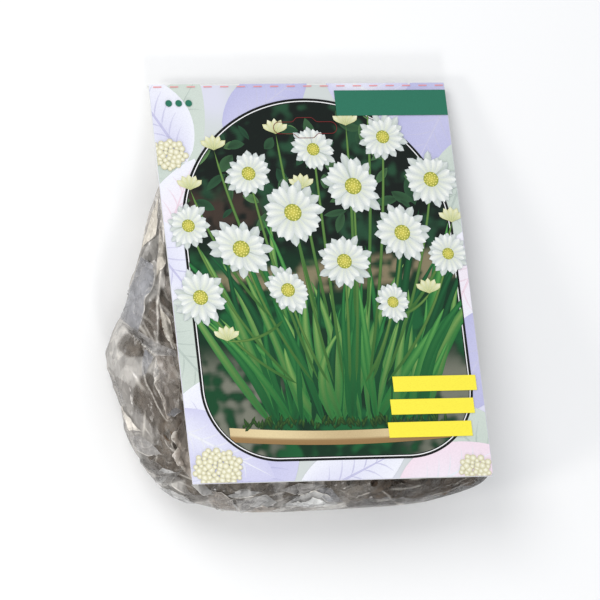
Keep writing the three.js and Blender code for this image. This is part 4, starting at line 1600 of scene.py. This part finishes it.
def daisy(ink, middle, width, layer, draw):
    middle = Vector(middle)
    squash = draw.uniform(0.72, 1)
    slew = draw.uniform(0, math.pi)
    for ring, tints in enumerate((BACK_PETAL, PETAL)):
        for i in range(PETALS):
            turn = 2 * math.pi * (i + 0.5 * ring + draw.uniform(-0.2, 0.2)) / PETALS
            reach = width / 2 * draw.uniform(0.84, 1.08) * (1 - 0.16 * ring)
            way = heading(turn, squash)
            way.rotate(Matrix.Rotation(slew, 2))
            foot = middle + way * width * PETAL_FOOT
            tip = middle + way * reach
            ink.leaf(foot, tip, width * draw.uniform(0.125, 0.155), tints, layer + 1.5 * ring,
                     bend=draw.uniform(-0.7, 0.7), belly=0.64, blunt=0.55, lean=PETAL_LEAN)
    ink.dot(middle, width * HEART_WIDE, layer + 3.2, *HEART)
    for spot in spiral(middle, width * HEART_SPREAD, HEART_DOTS):
        ink.dot(spot, width * DOT_WIDE, layer + 3.6, HEART_DOT, HEART[0], sides=5)


draw = random.Random(PRINT_SEED)
for i, (u, v, width) in enumerate(DAISIES):
    daisy(flowers, (u, v), width, FLOWER_LAYER + 2 + 4 * (i % 3), draw)
flowers.clip_to_card()
flowers.print_as("print_flowers")

# %% [markdown]
# ### Bands and marks
# A green band runs off the card at its top right, where a name would be. Three yellow tabs step down the
# lower right. Three green dots stand at the top left, and three clusters of cream berries lie by the edges.
# The hanger's hole is only marked, with a thin dark red line, and pale red dashes mark the fold along the
# top edge.

# %% Bands, tabs and dots
LABEL_LAYER = FLOWER_LAYER + 18
GREEN = colour(44, 116, 92)
YELLOW = colour(252, 237, 72)
PALE_RED = colour(236, 152, 154)
BAND = ((18, 83), (CARD_WIDTH / 2, 96))  # its lower left and upper right corners
TABS = [(30, -57), (27.5, -68.4), (25, -79.8)]  # lower left corner of each
TAB_WIDTH = 42
TAB_HEIGHT = 7.6
DOTS = [(-66, 90), (-61, 90), (-56, 90)]
DOT_RADIUS = 1.7
DASHES = 18
DASH = 4.2
DASH_EDGES = (98.1, 98.6)

labels = Ink()
labels.bar(*BAND, LABEL_LAYER, GREEN)
for u, v in TABS:
    labels.bar((u, v), (u + TAB_WIDTH, v + TAB_HEIGHT), LABEL_LAYER, YELLOW)
for dot in DOTS:
    labels.dot(dot, DOT_RADIUS, LABEL_LAYER, GREEN, GREEN)
for i in range(DASHES):
    start = -CARD_WIDTH / 2 + DASH * (2 * i + 0.5)
    labels.bar((start, DASH_EDGES[0]), (start + DASH, DASH_EDGES[1]), LABEL_LAYER, PALE_RED)
print("tabs:", len(TABS), "dots:", len(DOTS), "dashes:", DASHES)

# %% Berries
BERRY = (colour(252, 250, 232), colour(206, 200, 160))
BERRIES = [((-62, -93), 12, 64), ((-69, 64), 9, 38), ((66, -96), 8, 30)]  # middle, radius, count
BERRY_SQUASH = 0.8
BERRY_RADIUS = 1.5
BERRY_VARIES = 0.3

for middle, radius, count in BERRIES:
    for i, spot in enumerate(spiral(middle, radius, count, BERRY_SQUASH)):
        layer = LABEL_LAYER - 3 + 3 * scattered(i, 7)
        size = BERRY_RADIUS + BERRY_VARIES * math.sin(5 * i)
        labels.dot(spot, size, layer, *BERRY, sides=10)
print("berries:", sum(count for middle, radius, count in BERRIES))

# %% The hanger's hole
HOLE_MIDDLE = (1.2, 77)
HOLE_HALF = 16  # half of 32 mm, a common width for such holes
WING_RADIUS = 3
HOLE_RISE = 2.2  # its middle is taller by this much
RISE_EDGE = (3.5, 6.5)
HOLE_LINE = 0.3
HOLE_STEPS = 120
NEARBY = 0.003  # two points this far round the outline give its direction
DARK_RED = colour(120, 40, 40)


def hole_edge(t):
    """A point of the hole's outline: two wings with rounded ends and a taller middle."""
    turn = 2 * math.pi * t
    across = HOLE_HALF * math.cos(turn)
    past = max(abs(across) - (HOLE_HALF - WING_RADIUS), 0)
    wing = math.sqrt(max(WING_RADIUS**2 - past**2, 0))
    middle = HOLE_RISE * (1 - soft(abs(across), *RISE_EDGE))
    return Vector((across, math.copysign(wing + middle, math.sin(turn))))


def hole_line(s, t):
    here = hole_edge(t)
    run = hole_edge(t + NEARBY) - hole_edge(t - NEARBY)
    side = Vector((run.y, -run.x)).normalized()
    spot = Vector(HOLE_MIDDLE) + here + side * HOLE_LINE * (s - 0.5)
    return spot.x, spot.y, LABEL_LAYER * INK_STEP


labels.grid(1, HOLE_STEPS, hole_line, lambda s, t: DARK_RED)
labels.clip_to_card()
labels.print_as("print_labels")

# %% [markdown]
# ## Floor and light
# A pale floor and soft light, as for a catalogue picture. Two small bright panels give the film its glints,
# because a crease only shows when it mirrors something much brighter than its surroundings.

# %% Floor
FLOOR_SIZE = 4000
PAPER = (0.93, 0.93, 0.93, 1)


def pale_paper():
    paper = Finish("pale paper", Roughness=0.9)
    paper.give("Base Color", PAPER)
    return paper.done()


sheet = bmesh.new()
bmesh.ops.create_grid(sheet, x_segments=2, y_segments=2, size=FLOOR_SIZE / 2 * MM)
floor = added("floor", as_mesh(sheet, "floor"))
floor.data.materials.append(pale_paper())

# %% Lights
PANELS = [  # name, place, width, watts and colour
    ("key", (-800, 600, 1300), 800, 10, (1, 1, 1)),
    ("left_glint", (-1100, -250, 700), 240, 3.6, (1, 0.97, 0.92)),
    ("front_glint", (-100, -1200, 700), 240, 4, (1, 1, 1)),
]


def panel(name, place, size, power, tint):
    """A soft light panel that faces the pack's middle."""
    light = bpy.data.lights.new(name, "AREA")
    light.shape = "DISK"
    light.size = size * MM
    light.energy = power
    light.color = tint
    lamp = added(name, light)
    lamp.location = Vector(place) * MM
    lamp.rotation_mode = "QUATERNION"
    lamp.rotation_quaternion = Vector(place).to_track_quat("Z", "Y")


for row in PANELS:
    panel(*row)
print("light panels:", [row[0] for row in PANELS])

# %% Air and exposure
AIR = (0.95, 0.97, 1, 1)
AIR_STRENGTH = 0.64
SEEN_THROUGH = 24  # how many layers of film a ray may pass

world = bpy.data.worlds.new("studio")
bpy.context.scene.world = world
world.use_nodes = True
background = world.node_tree.nodes["Background"]
background.inputs["Color"].default_value = AIR
background.inputs["Strength"].default_value = AIR_STRENGTH
bpy.context.scene.view_settings.view_transform = "Standard"
bpy.context.scene.cycles.transparent_max_bounces = SEEN_THROUGH
print("light from all round:", AIR_STRENGTH)

# %% [markdown]
# ## Done
